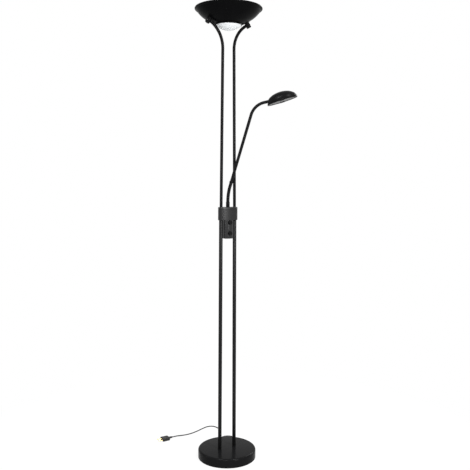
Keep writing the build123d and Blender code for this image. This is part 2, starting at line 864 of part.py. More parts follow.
with BuildPart() as collar_body:
    with BuildSketch(Plane.XY.offset(collar_bottom)):
        add(collar_section(0))
    extrude(amount=cap_bottom - collar_bottom)
    chamfer(collar_body.edges().group_by(Axis.Z)[-1], seam / 2)
    with BuildSketch(Plane.XY.offset(collar_bottom + collar_wall)):
        add(collar_section(collar_wall))
    extrude(amount=collar_height, mode=Mode.SUBTRACT)
    with BuildSketch(lower_pole_plane(collar_bottom - 1, 1)):
        Circle(lower_pole_radius + loose)
    extrude(amount=collar_wall + 2, mode=Mode.SUBTRACT)
    with BuildSketch(lower_pole_plane(collar_bottom - 1, -1)):
        Circle(lower_pole_radius + loose)
    extrude(amount=collar_wall + 2, mode=Mode.SUBTRACT)
    with BuildSketch(Plane.XY.offset(collar_bottom)):
        with Locations((0, housing_wire_y)):
            Circle(housing_wire_radius)
        with Locations((housing_boss_x, 0), (-housing_boss_x, 0)):
            Circle(housing_screw_radius + loose)
    extrude(amount=collar_wall, mode=Mode.SUBTRACT)
    with BuildSketch(Plane.back):
        with Locations(*set_screws_at):
            Circle(set_screw_radius + loose)
    extrude(amount=collar_crown, mode=Mode.SUBTRACT)
collar_body.part.label = "collar_body"
export_step(collar_body.part, "parts/collar_body.step")

with BuildPart() as collar_cap:
    with BuildSketch(Plane.XY.offset(cap_bottom)):
        add(collar_section(0))
    extrude(amount=cap_height)
    fillet(collar_cap.edges().group_by(Axis.Z)[-1], cap_edge)
    chamfer(collar_cap.edges().group_by(Axis.Z)[0], seam / 2)
    with BuildSketch(upper_pole_plane(cap_bottom - 1, 1)):
        Circle(upper_pole_radius + loose)
    extrude(amount=cap_height + 2, mode=Mode.SUBTRACT)
    with BuildSketch(upper_pole_plane(cap_bottom - 1, -1)):
        Circle(upper_pole_radius + loose)
    extrude(amount=cap_height + 2, mode=Mode.SUBTRACT)
    with BuildSketch(Plane.XY.offset(cap_bottom)):
        Circle(spigot_radius + running)
    extrude(amount=cap_height, mode=Mode.SUBTRACT)
collar_cap.part.label = "collar_cap"
export_step(collar_cap.part, "parts/collar_cap.step")

# The block inside the collar that joins the lower poles to the upper ones
with BuildPart() as coupler:
    with BuildSketch(Plane.XY.offset(coupler_bottom)):
        add(collar_section(collar_wall + coupler_gap))
    extrude(amount=coupler_top - coupler_bottom)
    with BuildSketch(lower_pole_plane(coupler_bottom - 1, 1)):
        Circle(lower_pole_radius + loose)
    extrude(amount=lower_socket + 1, mode=Mode.SUBTRACT)
    with BuildSketch(lower_pole_plane(coupler_bottom - 1, -1)):
        Circle(lower_pole_radius + loose)
    extrude(amount=lower_socket + 1, mode=Mode.SUBTRACT)
    with BuildSketch(upper_pole_plane(coupler_top + 1, 1)):
        Circle(upper_pole_radius + loose)
    extrude(amount=-upper_socket - 1, mode=Mode.SUBTRACT)
    with BuildSketch(upper_pole_plane(coupler_top + 1, -1)):
        Circle(upper_pole_radius + loose)
    extrude(amount=-upper_socket - 1, mode=Mode.SUBTRACT)
    with BuildSketch(Plane.XY.offset(coupler_bottom)):
        with Locations((0, 0), (lower_head_x, 0), (-lower_head_x, 0)):
            Circle(wire_hole_radius)
    extrude(amount=coupler_top - coupler_bottom, mode=Mode.SUBTRACT)
    with BuildSketch(Plane.XY.offset(coupler_top)):
        Circle(coupler_pocket_radius)
    extrude(amount=-coupler_pocket_depth, mode=Mode.SUBTRACT)
    with BuildSketch(Plane.back):
        with Locations(*set_screws_at):
            Circle(set_screw_radius + loose)
    extrude(amount=collar_crown, mode=Mode.SUBTRACT)
coupler.part.label = "coupler"
export_step(coupler.part, "parts/coupler.step")

with BuildPart() as pole_set_screws:
    with BuildSketch(Plane.back.offset(lower_pole_radius + running)):
        with Locations(*set_screws_at[0::2]):
            Circle(set_screw_radius)
    extrude(amount=set_screw_reach - lower_pole_radius - running)
    with BuildSketch(Plane.back.offset(upper_pole_radius + running)):
        with Locations(*set_screws_at[1::2]):
            Circle(set_screw_radius)
    extrude(amount=set_screw_reach - upper_pole_radius - running)
    with BuildSketch(Plane.back.offset(set_screw_reach)):
        with Locations(*set_screws_at):
            RegularPolygon(set_screw_key, 6)
    extrude(amount=-set_screw_key_depth, mode=Mode.SUBTRACT)
pole_set_screws.part.label = "pole_set_screws"
export_step(pole_set_screws.part, "parts/pole_set_screws.step")

# ---------------------------------------------------------------- dimmer housing

housing_bottom = collar_bottom - housing_height
housing_ceiling = collar_bottom - housing_wall
upper_knob_z = collar_bottom - upper_knob_drop
lower_knob_z = upper_knob_z - knob_spacing
board_middle = (upper_knob_z + lower_knob_z) / 2
cover_inside = housing_back - cover_thickness
pot_front = housing_crown - housing_wall - pot_seat  # forward of the pole plane
board_front = pot_front - pot_length
board_back = board_front - board_thickness
boss_top = housing_ceiling - housing_boss_length


def housing_section(inset, back, corner):
    """The housing's outline, drawn in at the sides and the front, with its flat back at the given Y."""
    half = housing_half_width - inset
    with BuildSketch() as section:
        with BuildLine():
            Polyline(
                (-half, inset * 0.3 - housing_corner), (-half, back), (half, back), (half, inset * 0.3 - housing_corner)
            )
            ThreePointArc(
                (half, inset * 0.3 - housing_corner),
                (0, inset - housing_crown),
                (-half, inset * 0.3 - housing_corner),
            )
        make_face()
        fillet(section.vertices().group_by(Axis.Y)[0], corner)
    return section.sketch


with BuildPart() as dimmer_housing:
    with BuildSketch(Plane.XY.offset(housing_bottom)):
        add(housing_section(0, housing_back, housing_corner_radius))
    extrude(amount=housing_height)
    fillet(
        [e for e in dimmer_housing.edges().group_by(Axis.Z)[0] if e.center().Y < housing_back - loose],
        housing_edge,
    )
    with BuildSketch(Plane.XY.offset(housing_bottom + housing_wall)):
        add(housing_section(housing_wall, housing_back + 1, housing_corner_radius - housing_wall / 2))
    extrude(amount=housing_ceiling - housing_bottom - housing_wall, mode=Mode.SUBTRACT)
    with BuildSketch(Plane.XY.offset(boss_top)):
        with Locations((housing_boss_x, 0), (-housing_boss_x, 0)):
            Circle(housing_boss_radius)
    extrude(amount=housing_boss_length)
    with BuildSketch(Plane.XY.offset(boss_top)):
        with Locations((housing_boss_x, 0), (-housing_boss_x, 0)):
            Circle(housing_screw_radius + loose)
    extrude(amount=housing_boss_length + housing_wall, mode=Mode.SUBTRACT)
    with BuildSketch(Plane.XY.offset(housing_ceiling)):
        with Locations((0, housing_wire_y)):
            Circle(housing_wire_radius)
    extrude(amount=housing_wall, mode=Mode.SUBTRACT)
    with BuildSketch(Plane.back.offset(-(housing_crown - housing_wall / 2))):
        with Locations((0, board_middle)):
            Circle(cover_boss_radius)
    extrude(amount=housing_crown - housing_wall / 2 + cover_inside - loose)
    with BuildSketch(Plane.back.offset(cover_inside)):
        with Locations((0, board_middle)):
            Circle(housing_screw_radius + loose)
    extrude(amount=-cover_screw_length, mode=Mode.SUBTRACT)
    with BuildSketch(Plane.XZ.offset(pot_front - 1)):
        with Locations((0, upper_knob_z), (0, lower_knob_z)):
            Circle(bush_radius + loose)
    extrude(amount=housing_crown, mode=Mode.SUBTRACT)
dimmer_housing.part.label = "dimmer_housing"
export_step(dimmer_housing.part, "parts/dimmer_housing.step")

with BuildPart() as dimmer_cover:
    with BuildSketch(Plane.back.offset(cover_inside)):
        with Locations((0, (housing_bottom + housing_wall + housing_ceiling) / 2)):
            Rectangle(
                2 * (housing_half_width - housing_wall - loose),
                housing_ceiling - housing_bottom - housing_wall - 2 * loose,
            )
        with Locations((0, board_middle)):
            Circle(housing_screw_radius + loose, mode=Mode.SUBTRACT)
    extrude(amount=cover_thickness)
dimmer_cover.part.label = "dimmer_cover"
export_step(dimmer_cover.part, "parts/dimmer_cover.step")

with BuildPart() as housing_screws:
    with BuildSketch(Plane.XY.offset(collar_bottom + collar_wall)):
        with Locations((housing_boss_x, 0), (-housing_boss_x, 0)):
            Circle(housing_head_radius)
    extrude(amount=housing_head)
    with BuildSketch(Plane.XY.offset(collar_bottom + collar_wall)):
        with Locations((housing_boss_x, 0), (-housing_boss_x, 0)):
            Circle(housing_screw_radius)
    extrude(amount=-housing_screw_length)
    with BuildSketch(Plane.back.offset(housing_back)):
        with Locations((0, board_middle)):
            Circle(housing_head_radius)
    extrude(amount=housing_head)
    with BuildSketch(Plane.back.offset(housing_back)):
        with Locations((0, board_middle)):
            Circle(housing_screw_radius)
    extrude(amount=-cover_screw_length)
housing_screws.part.label = "housing_screws"
export_step(housing_screws.part, "parts/housing_screws.step")

with BuildPart() as potentiometers:
    with BuildSketch(Plane.XZ.offset(board_front)):
        with Locations((0, upper_knob_z), (0, lower_knob_z)):
            Circle(pot_radius)
    extrude(amount=pot_length)
    with BuildSketch(Plane.XZ.offset(pot_front)):
        with Locations((0, upper_knob_z), (0, lower_knob_z)):
            Circle(bush_radius)
    extrude(amount=housing_crown - loose - pot_front)
    with BuildSketch(Plane.XZ.offset(board_front + 1)):
        with Locations((0, upper_knob_z), (0, lower_knob_z)):
            Circle(shaft_radius + running)
    extrude(amount=housing_crown, mode=Mode.SUBTRACT)
potentiometers.part.label = "potentiometers"
export_step(potentiometers.part, "parts/potentiometers.step")

with BuildPart() as dimmer_board:
    with BuildSketch(Plane.XZ.offset(board_back)):
        with Locations((0, board_middle)):
            Rectangle(2 * board_half_width, board_height)
            Circle(cover_boss_radius + face_gap, mode=Mode.SUBTRACT)
    extrude(amount=board_thickness)
dimmer_board.part.label = "dimmer_board"
export_step(dimmer_board.part, "parts/dimmer_board.step")

with BuildPart() as dimmer_components:
    with BuildSketch(Plane.back.offset(-board_back)):
        with Locations((0, board_middle - terminal_drop)):
            Rectangle(terminal_length, terminal_height)
    extrude(amount=terminal_depth)
    with BuildSketch(Plane.back.offset(-board_back)):
        with Locations((part_offset, board_middle + part_lift)):
            Rectangle(capacitor_width, capacitor_height)
    extrude(amount=capacitor_depth)
    with BuildSketch(Plane.back.offset(-board_back)):
        with Locations((-part_offset, board_middle + part_lift)):
            Circle(choke_radius)
    extrude(amount=choke_depth)
dimmer_components.part.label = "dimmer_components"
export_step(dimmer_components.part, "parts/dimmer_components.step")


def make_knob(knob_z):
    with BuildPart() as knob:
        with BuildSketch(Plane.XZ.offset(housing_crown + knob_gap)):
            with Locations((0, knob_z)):
                Circle(knob_radius)
        extrude(amount=knob_length)
        fillet(knob.edges().group_by(Axis.Y)[0], knob_edge)
        with BuildSketch(Plane.XZ.offset(housing_crown + knob_gap + knob_length)):
            with Locations((0, knob_z + knob_radius * 0.6)):
                Rectangle(pointer_width, knob_radius * 0.8)
        extrude(amount=-pointer_depth, mode=Mode.SUBTRACT)
        with BuildSketch(Plane.XZ.offset(board_front + 1 + face_gap)):
            with Locations((0, knob_z)):
                Circle(shaft_radius)
        extrude(amount=housing_crown - board_front - 1 - face_gap + knob_gap + 1)
    return knob


knob_upper = make_knob(upper_knob_z)
knob_upper.part.label = "knob_upper"
export_step(knob_upper.part, "parts/knob_upper.step")

knob_lower = make_knob(lower_knob_z)
knob_lower.part.label = "knob_lower"
export_step(knob_lower.part, "parts/knob_lower.step")

# ---------------------------------------------------------------- reading arm


def arm_point(r, z):
    """The point r out from the swivel's axis at height z, in the arm's upright plane."""
    return Vector(r * cos(radians(arm_azimuth)), r * sin(radians(arm_azimuth)), z)


def arm_direction(rise):
    """The unit vector along the arm's plane that rises by this many degrees above level."""
    return arm_point(cos(radians(rise)), sin(radians(rise)))


arm_across = Vector(sin(radians(arm_azimuth)), -cos(radians(arm_azimuth)), 0)
arm_plane = Plane(origin=(0, 0, 0), x_dir=arm_point(1, 0), z_dir=arm_across)
ferrule_bottom = collar_top + face_gap
ferrule_top = ferrule_bottom + ferrule_length
spigot_nut_top = cap_bottom - face_gap
spigot_nut_bottom = spigot_nut_top - spigot_nut_height

with BuildPart() as arm_ferrule:
    with BuildSketch(Plane.XY.offset(ferrule_bottom)):
        Circle(ferrule_radius)
    extrude(amount=ferrule_length)
    chamfer(arm_ferrule.edges().group_by(Axis.Z)[0], ferrule_edge)
    with BuildSketch(Plane.XY.offset(spigot_nut_bottom - spigot_tail)):
        Circle(spigot_radius)
    extrude(amount=ferrule_bottom - spigot_nut_bottom + spigot_tail)
    with BuildSketch(Plane.XY.offset(spigot_nut_bottom - spigot_tail)):
        Circle(spigot_bore)
    extrude(amount=ferrule_top - spigot_nut_bottom + spigot_tail, mode=Mode.SUBTRACT)
arm_ferrule.part.label = "arm_ferrule"
export_step(arm_ferrule.part, "parts/arm_ferrule.step")

with BuildPart() as spigot_nut:
    with BuildSketch(Plane.XY.offset(spigot_nut_bottom)):
        RegularPolygon(spigot_nut_radius, 6)
        Circle(spigot_radius + loose, mode=Mode.SUBTRACT)
    extrude(amount=spigot_nut_height)
spigot_nut.part.label = "spigot_nut"
export_step(spigot_nut.part, "parts/spigot_nut.step")

with BuildPart() as gooseneck:
    with BuildLine(arm_plane) as neck_path:
        neck_start = Line((0, ferrule_top), (0, ferrule_top + neck_foot))
        neck_bend = JernArc(neck_start @ 1, neck_start % 1, neck_arc_radius, -neck_lean)
        neck_end = Line(neck_bend @ 1, (neck_bend @ 1) + (neck_bend % 1) * neck_head)
    with BuildSketch(Plane(origin=neck_start @ 0, z_dir=neck_start % 0)):
        Circle(neck_radius)
        Circle(neck_bore, mode=Mode.SUBTRACT)
    sweep()
gooseneck.part.label = "gooseneck"
export_step(gooseneck.part, "parts/gooseneck.step")

with BuildPart() as arm_tube:
    with BuildLine(arm_plane) as tube_path:
        tube_straight = Line(neck_end @ 1, (neck_end @ 1) + (neck_end % 1) * (ring_length + arm_straight))
        tube_bend = JernArc(tube_straight @ 1, tube_straight % 1, arm_bend_radius, -(90 - neck_lean - arm_rise))
        Line(tube_bend @ 1, (tube_bend @ 1) + (tube_bend % 1) * arm_end_run)
    with BuildSketch(Plane(origin=tube_straight @ 0, z_dir=tube_straight % 0)):
        Circle(arm_radius)
        Circle(arm_radius - arm_wall, mode=Mode.SUBTRACT)
    sweep()
arm_tube.part.label = "arm_tube"
export_step(arm_tube.part, "parts/arm_tube.step")

head_entry = (tube_bend @ 1) + (tube_bend % 1) * arm_to_head
entry_plane = Plane(origin=head_entry, z_dir=tube_bend % 1)  # square to the tube, at the head's rear face

with BuildPart() as arm_rings:
    with BuildSketch(Plane(origin=tube_straight @ 0, z_dir=tube_straight % 0)):
        Circle(ring_radius)
        Circle(arm_radius + loose, mode=Mode.SUBTRACT)
    extrude(amount=ring_length)
    with BuildSketch(entry_plane.offset(arm_seat + face_gap)):
        Circle(retainer_radius)
        Circle(arm_radius + loose, mode=Mode.SUBTRACT)
    extrude(amount=retainer_length)
arm_rings.part.label = "arm_rings"
export_step(arm_rings.part, "parts/arm_rings.step")

# ---------------------------------------------------------------- reading head

head_e = arm_direction(head_pitch)
head_n = arm_direction(head_pitch + 90)
head_origin = head_entry - head_e * arm_entry_depth - head_n * arm_entry_height
head_frame = Plane(origin=head_origin, x_dir=head_e, z_dir=head_n)
rear_plane = Plane(
    origin=head_origin,
    x_dir=head_frame.y_dir,
    z_dir=head_e * cos(radians(rear_cut_lean)) - head_n * sin(radians(rear_cut_lean)),
)
rim_plane = head_frame.offset(head_rim_lift)
dome_half_length = (head_length + head_overrun) / 2
dome_half_width = head_width / 2
dome_rise = head_height - head_rim_lift
dome_middle = head_length - dome_half_length


def head_ball(middle, half_length, half_width, rise):
    """An ellipsoid round a point of the head's rim plane."""
    with BuildPart() as ball:
        Sphere(1)
        scale(by=(half_length, half_width, rise))
    place = Plane(origin=rim_plane.origin + head_e * middle, x_dir=head_e, z_dir=head_n)
    return place.location * ball.part


def dome_ball(inset):
    """The dome's full ellipsoid, drawn in by the inset."""
    return head_ball(dome_middle, dome_half_length - inset, dome_half_width - inset, dome_rise - inset)


with BuildPart() as head_shell:
    add(dome_ball(0))
    add(dome_ball(head_wall), mode=Mode.SUBTRACT)
    split(bisect_by=rim_plane, keep=Keep.TOP)
    split(bisect_by=rear_plane.offset(rear_cap_thickness + head_seam), keep=Keep.TOP)
head_shell.part.label = "head_shell"
export_step(head_shell.part, "parts/head_shell.step")

with BuildPart() as seat_boss_form:
    with BuildSketch(entry_plane.offset(-arm_entry_depth)):
        Circle(retainer_radius + seat_boss)
    extrude(amount=arm_entry_depth + arm_seat)
    add(dome_ball(head_wall + face_gap), mode=Mode.INTERSECT)

# The flat rear end that turns on the arm's tube
with BuildPart() as head_cap:
    add(dome_ball(0))
    split(bisect_by=rear_plane.offset(rear_cap_thickness), keep=Keep.BOTTOM)
    add(seat_boss_form.part)
    split(bisect_by=rear_plane, keep=Keep.TOP)
    split(bisect_by=rim_plane, keep=Keep.TOP)
    with BuildSketch(entry_plane.offset(arm_seat)):
        Circle(retainer_radius + face_gap)
    extrude(amount=head_length / 2, mode=Mode.SUBTRACT)
    with BuildSketch(entry_plane.offset(-head_length / 4)):
        Circle(arm_radius + running)
    extrude(amount=head_length / 2, mode=Mode.SUBTRACT)
head_cap.part.label = "head_cap"
export_step(head_cap.part, "parts/head_cap.step")

upstand_out = head_wall + bezel_upstand_inset
upstand_in = upstand_out + bezel_upstand_wall
lens_in = upstand_in + lens_gap
lens_rear = opening_rear - lens_lap

with BuildPart() as head_bezel:
    with BuildSketch(head_frame):
        with Locations((dome_middle, 0)):
            Ellipse(dome_half_length, dome_half_width)
    extrude(amount=head_rim_lift)
    with BuildSketch(head_frame):
        with Locations((dome_middle, 0)):
            Ellipse(dome_half_length - bezel_width, dome_half_width - bezel_width)
        with Locations((opening_rear - head_length / 2, 0)):
            Rectangle(head_length, head_width, mode=Mode.SUBTRACT)
    extrude(amount=head_rim_lift, mode=Mode.SUBTRACT)
    with BuildSketch(rim_plane):
        with Locations((dome_middle, 0)):
            Ellipse(dome_half_length - upstand_out, dome_half_width - upstand_out)
            Ellipse(dome_half_length - upstand_in, dome_half_width - upstand_in, mode=Mode.SUBTRACT)
        with Locations((lens_rear - head_length / 2, 0)):
            Rectangle(head_length, head_width, mode=Mode.SUBTRACT)
    extrude(amount=bezel_upstand)
    split(bisect_by=rear_plane, keep=Keep.TOP)
head_bezel.part.label = "head_bezel"
export_step(head_bezel.part, "parts/head_bezel.step")

with BuildPart() as head_lens:
    with BuildSketch(rim_plane):
        with Locations((dome_middle, 0)):
            Ellipse(dome_half_length - lens_in, dome_half_width - lens_in)
        with Locations((lens_rear - head_length / 2, 0)):
            Rectangle(head_length, head_width, mode=Mode.SUBTRACT)
    extrude(amount=lens_thickness)
head_lens.part.label = "head_lens"
export_step(head_lens.part, "parts/head_lens.step")

clip_y = dome_half_width - lens_clip_inset - lens_clip_reach / 2

with BuildPart() as lens_clips:
    with BuildSketch(head_frame):
        with Locations((dome_middle, clip_y), (dome_middle, -clip_y)):
            RectangleRounded(lens_clip_width, lens_clip_reach, 1.5)
    extrude(amount=-lens_clip_thickness)
lens_clips.part.label = "lens_clips"
export_step(lens_clips.part, "parts/lens_clips.step")

holder_plane = Plane(
    origin=head_origin + head_e * capsule_start + head_n * capsule_rise, x_dir=head_frame.y_dir, z_dir=head_e
)

with BuildPart() as capsule_holder:
    with BuildSketch(holder_plane):
        RectangleRounded(capsule_holder_side, capsule_holder_side, 2)
    extrude(amount=capsule_holder_length)
capsule_holder.part.label = "capsule_holder"
export_step(capsule_holder.part, "parts/capsule_holder.step")

with BuildPart() as capsule_lamp:
    with BuildSketch(holder_plane.offset(capsule_holder_length)):
        Circle(capsule_radius)
    extrude(amount=capsule_length)
    fillet(capsule_lamp.edges().sort_by(Axis(holder_plane.origin, head_e))[-1], capsule_tip)
capsule_lamp.part.label = "capsule_lamp"
export_step(capsule_lamp.part, "parts/capsule_lamp.step")

with BuildPart() as head_reflector:
    add(head_ball(reflector_middle, reflector_half_length, reflector_half_width, reflector_rise))
    add(
        head_ball(
            reflector_middle,
            reflector_half_length - reflector_wall,
            reflector_half_width - reflector_wall,
            reflector_rise - reflector_wall,
        ),
        mode=Mode.SUBTRACT,
    )
    split(bisect_by=rim_plane.offset(lens_thickness + lens_gap), keep=Keep.TOP)
    with BuildSketch(holder_plane.offset(-face_gap)):
        Rectangle(capsule_holder_side + 2 * face_gap, capsule_holder_side + 2 * face_gap)
    extrude(amount=capsule_holder_length + face_gap, mode=Mode.SUBTRACT)
head_reflector.part.label = "head_reflector"
export_step(head_reflector.part, "parts/head_reflector.step")

# ---------------------------------------------------------------- cord and plug


def cord_radii(name, points):
    """The radius at each inner point of a route, as large as its two runs allow."""
    radii = []
    for before, at, after in zip(points, points[1:], points[2:]):
        first = Vector(*at) - Vector(*before)
        second = Vector(*after) - Vector(*at)
        shorter = min(first.length, second.length)
        radii.append(0.45 * shorter / tan(radians(first.get_angle(second)) / 2))
    print(name, "radii", [round(r, 1) for r in radii])
    return radii


def make_cord(name, points, radii=None):
    """A round tube along the points, with its volume compared with its section times its length."""
    with BuildPart() as cord:
        with BuildLine() as route:
            FilletPolyline(*points, radius=radii or cord_radii(name, points))
        with BuildSketch(Plane(origin=route.line @ 0, z_dir=route.line % 0)):
            Circle(cord_radius)
        sweep()
    length = sum(e.length for e in route.line.edges())
    share = cord.part.volume / (pi * cord_radius**2 * length)
    print(name, "length", round(length, 1), "volume over section times length", round(share, 5))
    return cord


with BuildPart() as strain_relief:
    with BuildSketch(relief_plane.offset(-2 * base_wall)):
        Circle(relief_root_radius - 1)
    extrude(amount=2 * base_wall)
    with BuildSketch(relief_plane):
        Circle(relief_root_radius)
    with BuildSketch(relief_plane.offset(relief_length)):
        Circle(relief_tip_radius)
    loft()
strain_relief.part.label = "strain_relief"
export_step(strain_relief.part, "parts/strain_relief.step")

relief_inside = relief_plane.offset(-2 * base_wall).origin
relief_tip = relief_plane.offset(relief_length).origin
relief_out = relief_plane.z_dir

supply_lead = make_cord(
    "supply_lead",
    [
        relief_inside,
        relief_inside - relief_out * 30,
        Vector(-lower_foot_x, 0, cord_exit_height),
        Vector(-lower_foot_x, 0, base_height + stud_plug_length),
    ],
    radii=[relief_length * 2, stud_bottom - cord_exit_height],
)
supply_lead.part.label = "supply_lead"
export_step(supply_lead.part, "parts/supply_lead.step")

coil_low = cord_radius + coil_lift
coil_outer_radius = coil_inner_radius + coil_pitch * coil_layer_turns
coil_turns = 2 * coil_layer_turns + 0.5


def coil_point(turn):
    """The coil's centre line after this many turns, clockwise from above."""
    if turn <= coil_layer_turns:
        r = coil_outer_radius - coil_pitch * turn
        rise = 0
    elif turn <= coil_layer_turns + 0.5:
        u = 2 * (turn - coil_layer_turns)
        r = coil_inner_radius - coil_dip * sin(pi * u) ** 2
        rise = coil_pitch * (3 * u**2 - 2 * u**3)
    else:
        r = coil_inner_radius + coil_pitch * (turn - coil_layer_turns - 0.5)
        rise = coil_pitch
    a = radians(coil_start - 360 * turn)
    return Vector(coil_centre[0] + r * cos(a), coil_centre[1] + r * sin(a), coil_low + rise)


def level_heading(turn):
    """The clockwise direction square to the coil's radius."""
    a = radians(coil_start - 360 * turn)
    return Vector(sin(a), -cos(a), 0)


def coil_heading(turn):
    if turn == 0 or turn == coil_turns:
        return level_heading(turn)
    return (coil_point(turn + 0.001) - coil_point(turn - 0.001)).normalized()


coil_steps = ceil(4 * coil_layer_turns)
coil_stops = [coil_layer_turns * i / coil_steps for i in range(coil_steps + 1)]
coil_stops += [coil_layer_turns + 0.125 * i for i in range(1, 4)]
coil_stops += [coil_turns - coil_layer_turns * (1 - i / coil_steps) for i in range(coil_steps)]
coil_stops += [coil_turns]
coil_in = coil_point(0) - level_heading(0) * 2 * cord_radius
coil_out = coil_point(coil_turns) + level_heading(coil_turns) * 2 * cord_radius

with BuildPart() as cord_coil:
    with BuildLine() as coil_path:
        Line(coil_in, coil_point(0))
        for first, last in zip(coil_stops, coil_stops[1:]):
            p0 = coil_point(first)
            p1 = coil_point(last)
            t0 = coil_heading(first)
            t1 = coil_heading(last)
            c = 2 * (1 - t0.dot(t1))
            b = (p1 - p0).dot(t0 + t1)
            d = (sqrt(b**2 + c * (p1 - p0).dot(p1 - p0)) - b) / c
            knee = ((p0 + t0 * d) + (p1 - t1 * d)) / 2
            TangentArc(p0, knee, tangent=t0)
            TangentArc(knee, p1, tangent=((p1 - t1 * d) - (p0 + t0 * d)).normalized())
        Line(coil_point(coil_turns), coil_out)
    with BuildSketch(Plane(origin=coil_in, z_dir=level_heading(0))):
        Circle(cord_radius)
    sweep()
cord_coil.part.label = "cord_coil"
export_step(cord_coil.part, "parts/cord_coil.step")

# The least gap between turns, measured on points along the route
coil_edges = coil_path.line.edges()
coil_length = sum(e.length for e in coil_edges)
traced = []
for edge in coil_edges:
    steps = max(2, int(edge.length / 2))
    traced += [tuple(edge @ (i / steps)) for i in range(steps)]
spacing = coil_length / len(traced)
apart = int(8 * cord_radius / spacing)
least = min(
    sqrt((a[0] - b[0]) ** 2 + (a[1] - b[1]) ** 2 + (a[2] - b[2]) ** 2)
    for i, a in enumerate(traced)
    for b in traced[i + apart :]
)
coil_share = cord_coil.part.volume / (pi * cord_radius**2 * coil_length)
print("cord_coil length", round(coil_length, 1), "volume over section times length", round(coil_share, 5))
print("cord_coil least gap to itself", round(least - 2 * cord_radius, 3))

cord_lead = make_cord(
    "cord_lead",
    [
        relief_tip,
        relief_tip + relief_out * 10,
        Vector(29.5, 155.0, 6.4),
        Vector(34.6, 161.1, 4.8),
        Vector(41.9, 166.4, 3.6),
        Vector(51.1, 170.1, 3.0),
        Vector(63.7, coil_in.Y, coil_in.Z),
        coil_in,
    ],
)
cord_lead.part.label = "cord_lead"
export_step(cord_lead.part, "parts/cord_lead.step")

tail_points = [
    coil_out,
    coil_out + level_heading(coil_turns) * 9.5,
    Vector(62.9, 178.5, 9.3),
    Vector(71.9, 192.9, 6.0),
    Vector(82.9, 208.5, 2.4),
    Vector(94.2, 226.2, 2.4),
    Vector(102.4, 243.4, 2.4),
    Vector(107.2, 262.6, 2.4),
    Vector(108.4, 283.8, 2.4),
    Vector(101.8, 304.4, 2.4),
    Vector(86.1, 315.2, 2.4),
    Vector(65.9, 314.1, 2.4),
    Vector(43.9, 306.0, 2.4),
    Vector(11.2, 291.4, 2.4),
    Vector(-21.7, 280.4, 2.4),
    Vector(-48.8, 277.6, 2.4),
    Vector(-75.1, 276.0, 4.6),
    Vector(-97.9, 276.5, 6.85),
    Vector(-121.4, 275.7, 6.85),
]
cord_tail = make_cord("cord_tail", tail_points)
cord_tail.part.label = "cord_tail"
export_step(cord_tail.part, "parts/cord_tail.step")

tie_radial = Vector(cos(radians(tie_angle)), sin(radians(tie_angle)), 0)
tie_out = Vector(sin(radians(tie_angle)), -cos(radians(tie_angle)), 0)
tie_inner = coil_inner_radius + coil_pitch / 6 - cord_radius - tie_gap - tie_bow
tie_outer = coil_outer_radius - coil_pitch / 3 + cord_radius + tie_gap
tie_floor = 0.05 + tie_thickness
tie_roof = coil_low + coil_pitch + cord_radius + tie_gap
tie_plane = Plane(origin=(coil_centre[0], coil_centre[1], 0), x_dir=tie_radial, z_dir=tie_out)

with BuildPart() as cord_tie:
    with BuildSketch(tie_plane):
        with Locations(((tie_inner + tie_outer) / 2, (tie_floor + tie_roof) / 2)):
            RectangleRounded(
                tie_outer - tie_inner + 2 * tie_thickness, tie_roof - tie_floor + 2 * tie_thickness, 2
            )
            RectangleRounded(tie_outer - tie_inner, tie_roof - tie_floor, 2 - tie_thickness, mode=Mode.SUBTRACT)
    extrude(amount=tie_width / 2, both=True)
cord_tie.part.label = "cord_tie"
export_step(cord_tie.part, "parts/cord_tie.step")

plug_heading = (tail_points[-1] - tail_points[-2]).normalized()
plug_plane = Plane(
    origin=tail_points[-1], x_dir=Vector(-plug_heading.Y, plug_heading.X, 0), z_dir=plug_heading
)
pin_start = plug_relief_length + plug_length - pin_embed

with BuildPart() as plug_body:
    with BuildSketch(plug_plane):
        Circle(relief_tip_radius)
    with BuildSketch(plug_plane.offset(plug_relief_length)):
        Circle(relief_root_radius)
    loft()
    with BuildSketch(plug_plane.offset(plug_relief_length)):
        RectangleRounded(plug_width, plug_height, plug_height / 2 - 0.3)
    extrude(amount=plug_length)
    fillet(
        plug_body.edges()
        .filter_by_position(Axis(plug_plane.origin, plug_heading), plug_relief_length + plug_length - 0.1,
                            plug_relief_length + plug_length + 0.1),
        plug_edge / 2,
    )
    with BuildSketch(plug_plane.offset(pin_start)):
        with Locations((pin_spacing / 2, 0), (-pin_spacing / 2, 0)):
            Circle(pin_radius + loose)
    extrude(amount=pin_embed, mode=Mode.SUBTRACT)
plug_body.part.label = "plug_body"
export_step(plug_body.part, "parts/plug_body.step")

with BuildPart() as plug_pins:
    with BuildSketch(plug_plane.offset(pin_start)):
        with Locations((pin_spacing / 2, 0), (-pin_spacing / 2, 0)):
            Circle(pin_radius)
    extrude(amount=pin_embed + pin_length)
plug_pins.part.label = "plug_pins"
export_step(plug_pins.part, "parts/plug_pins.step")
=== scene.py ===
"""Twin-pole uplighter with a reading light: the visible lamp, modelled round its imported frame."""

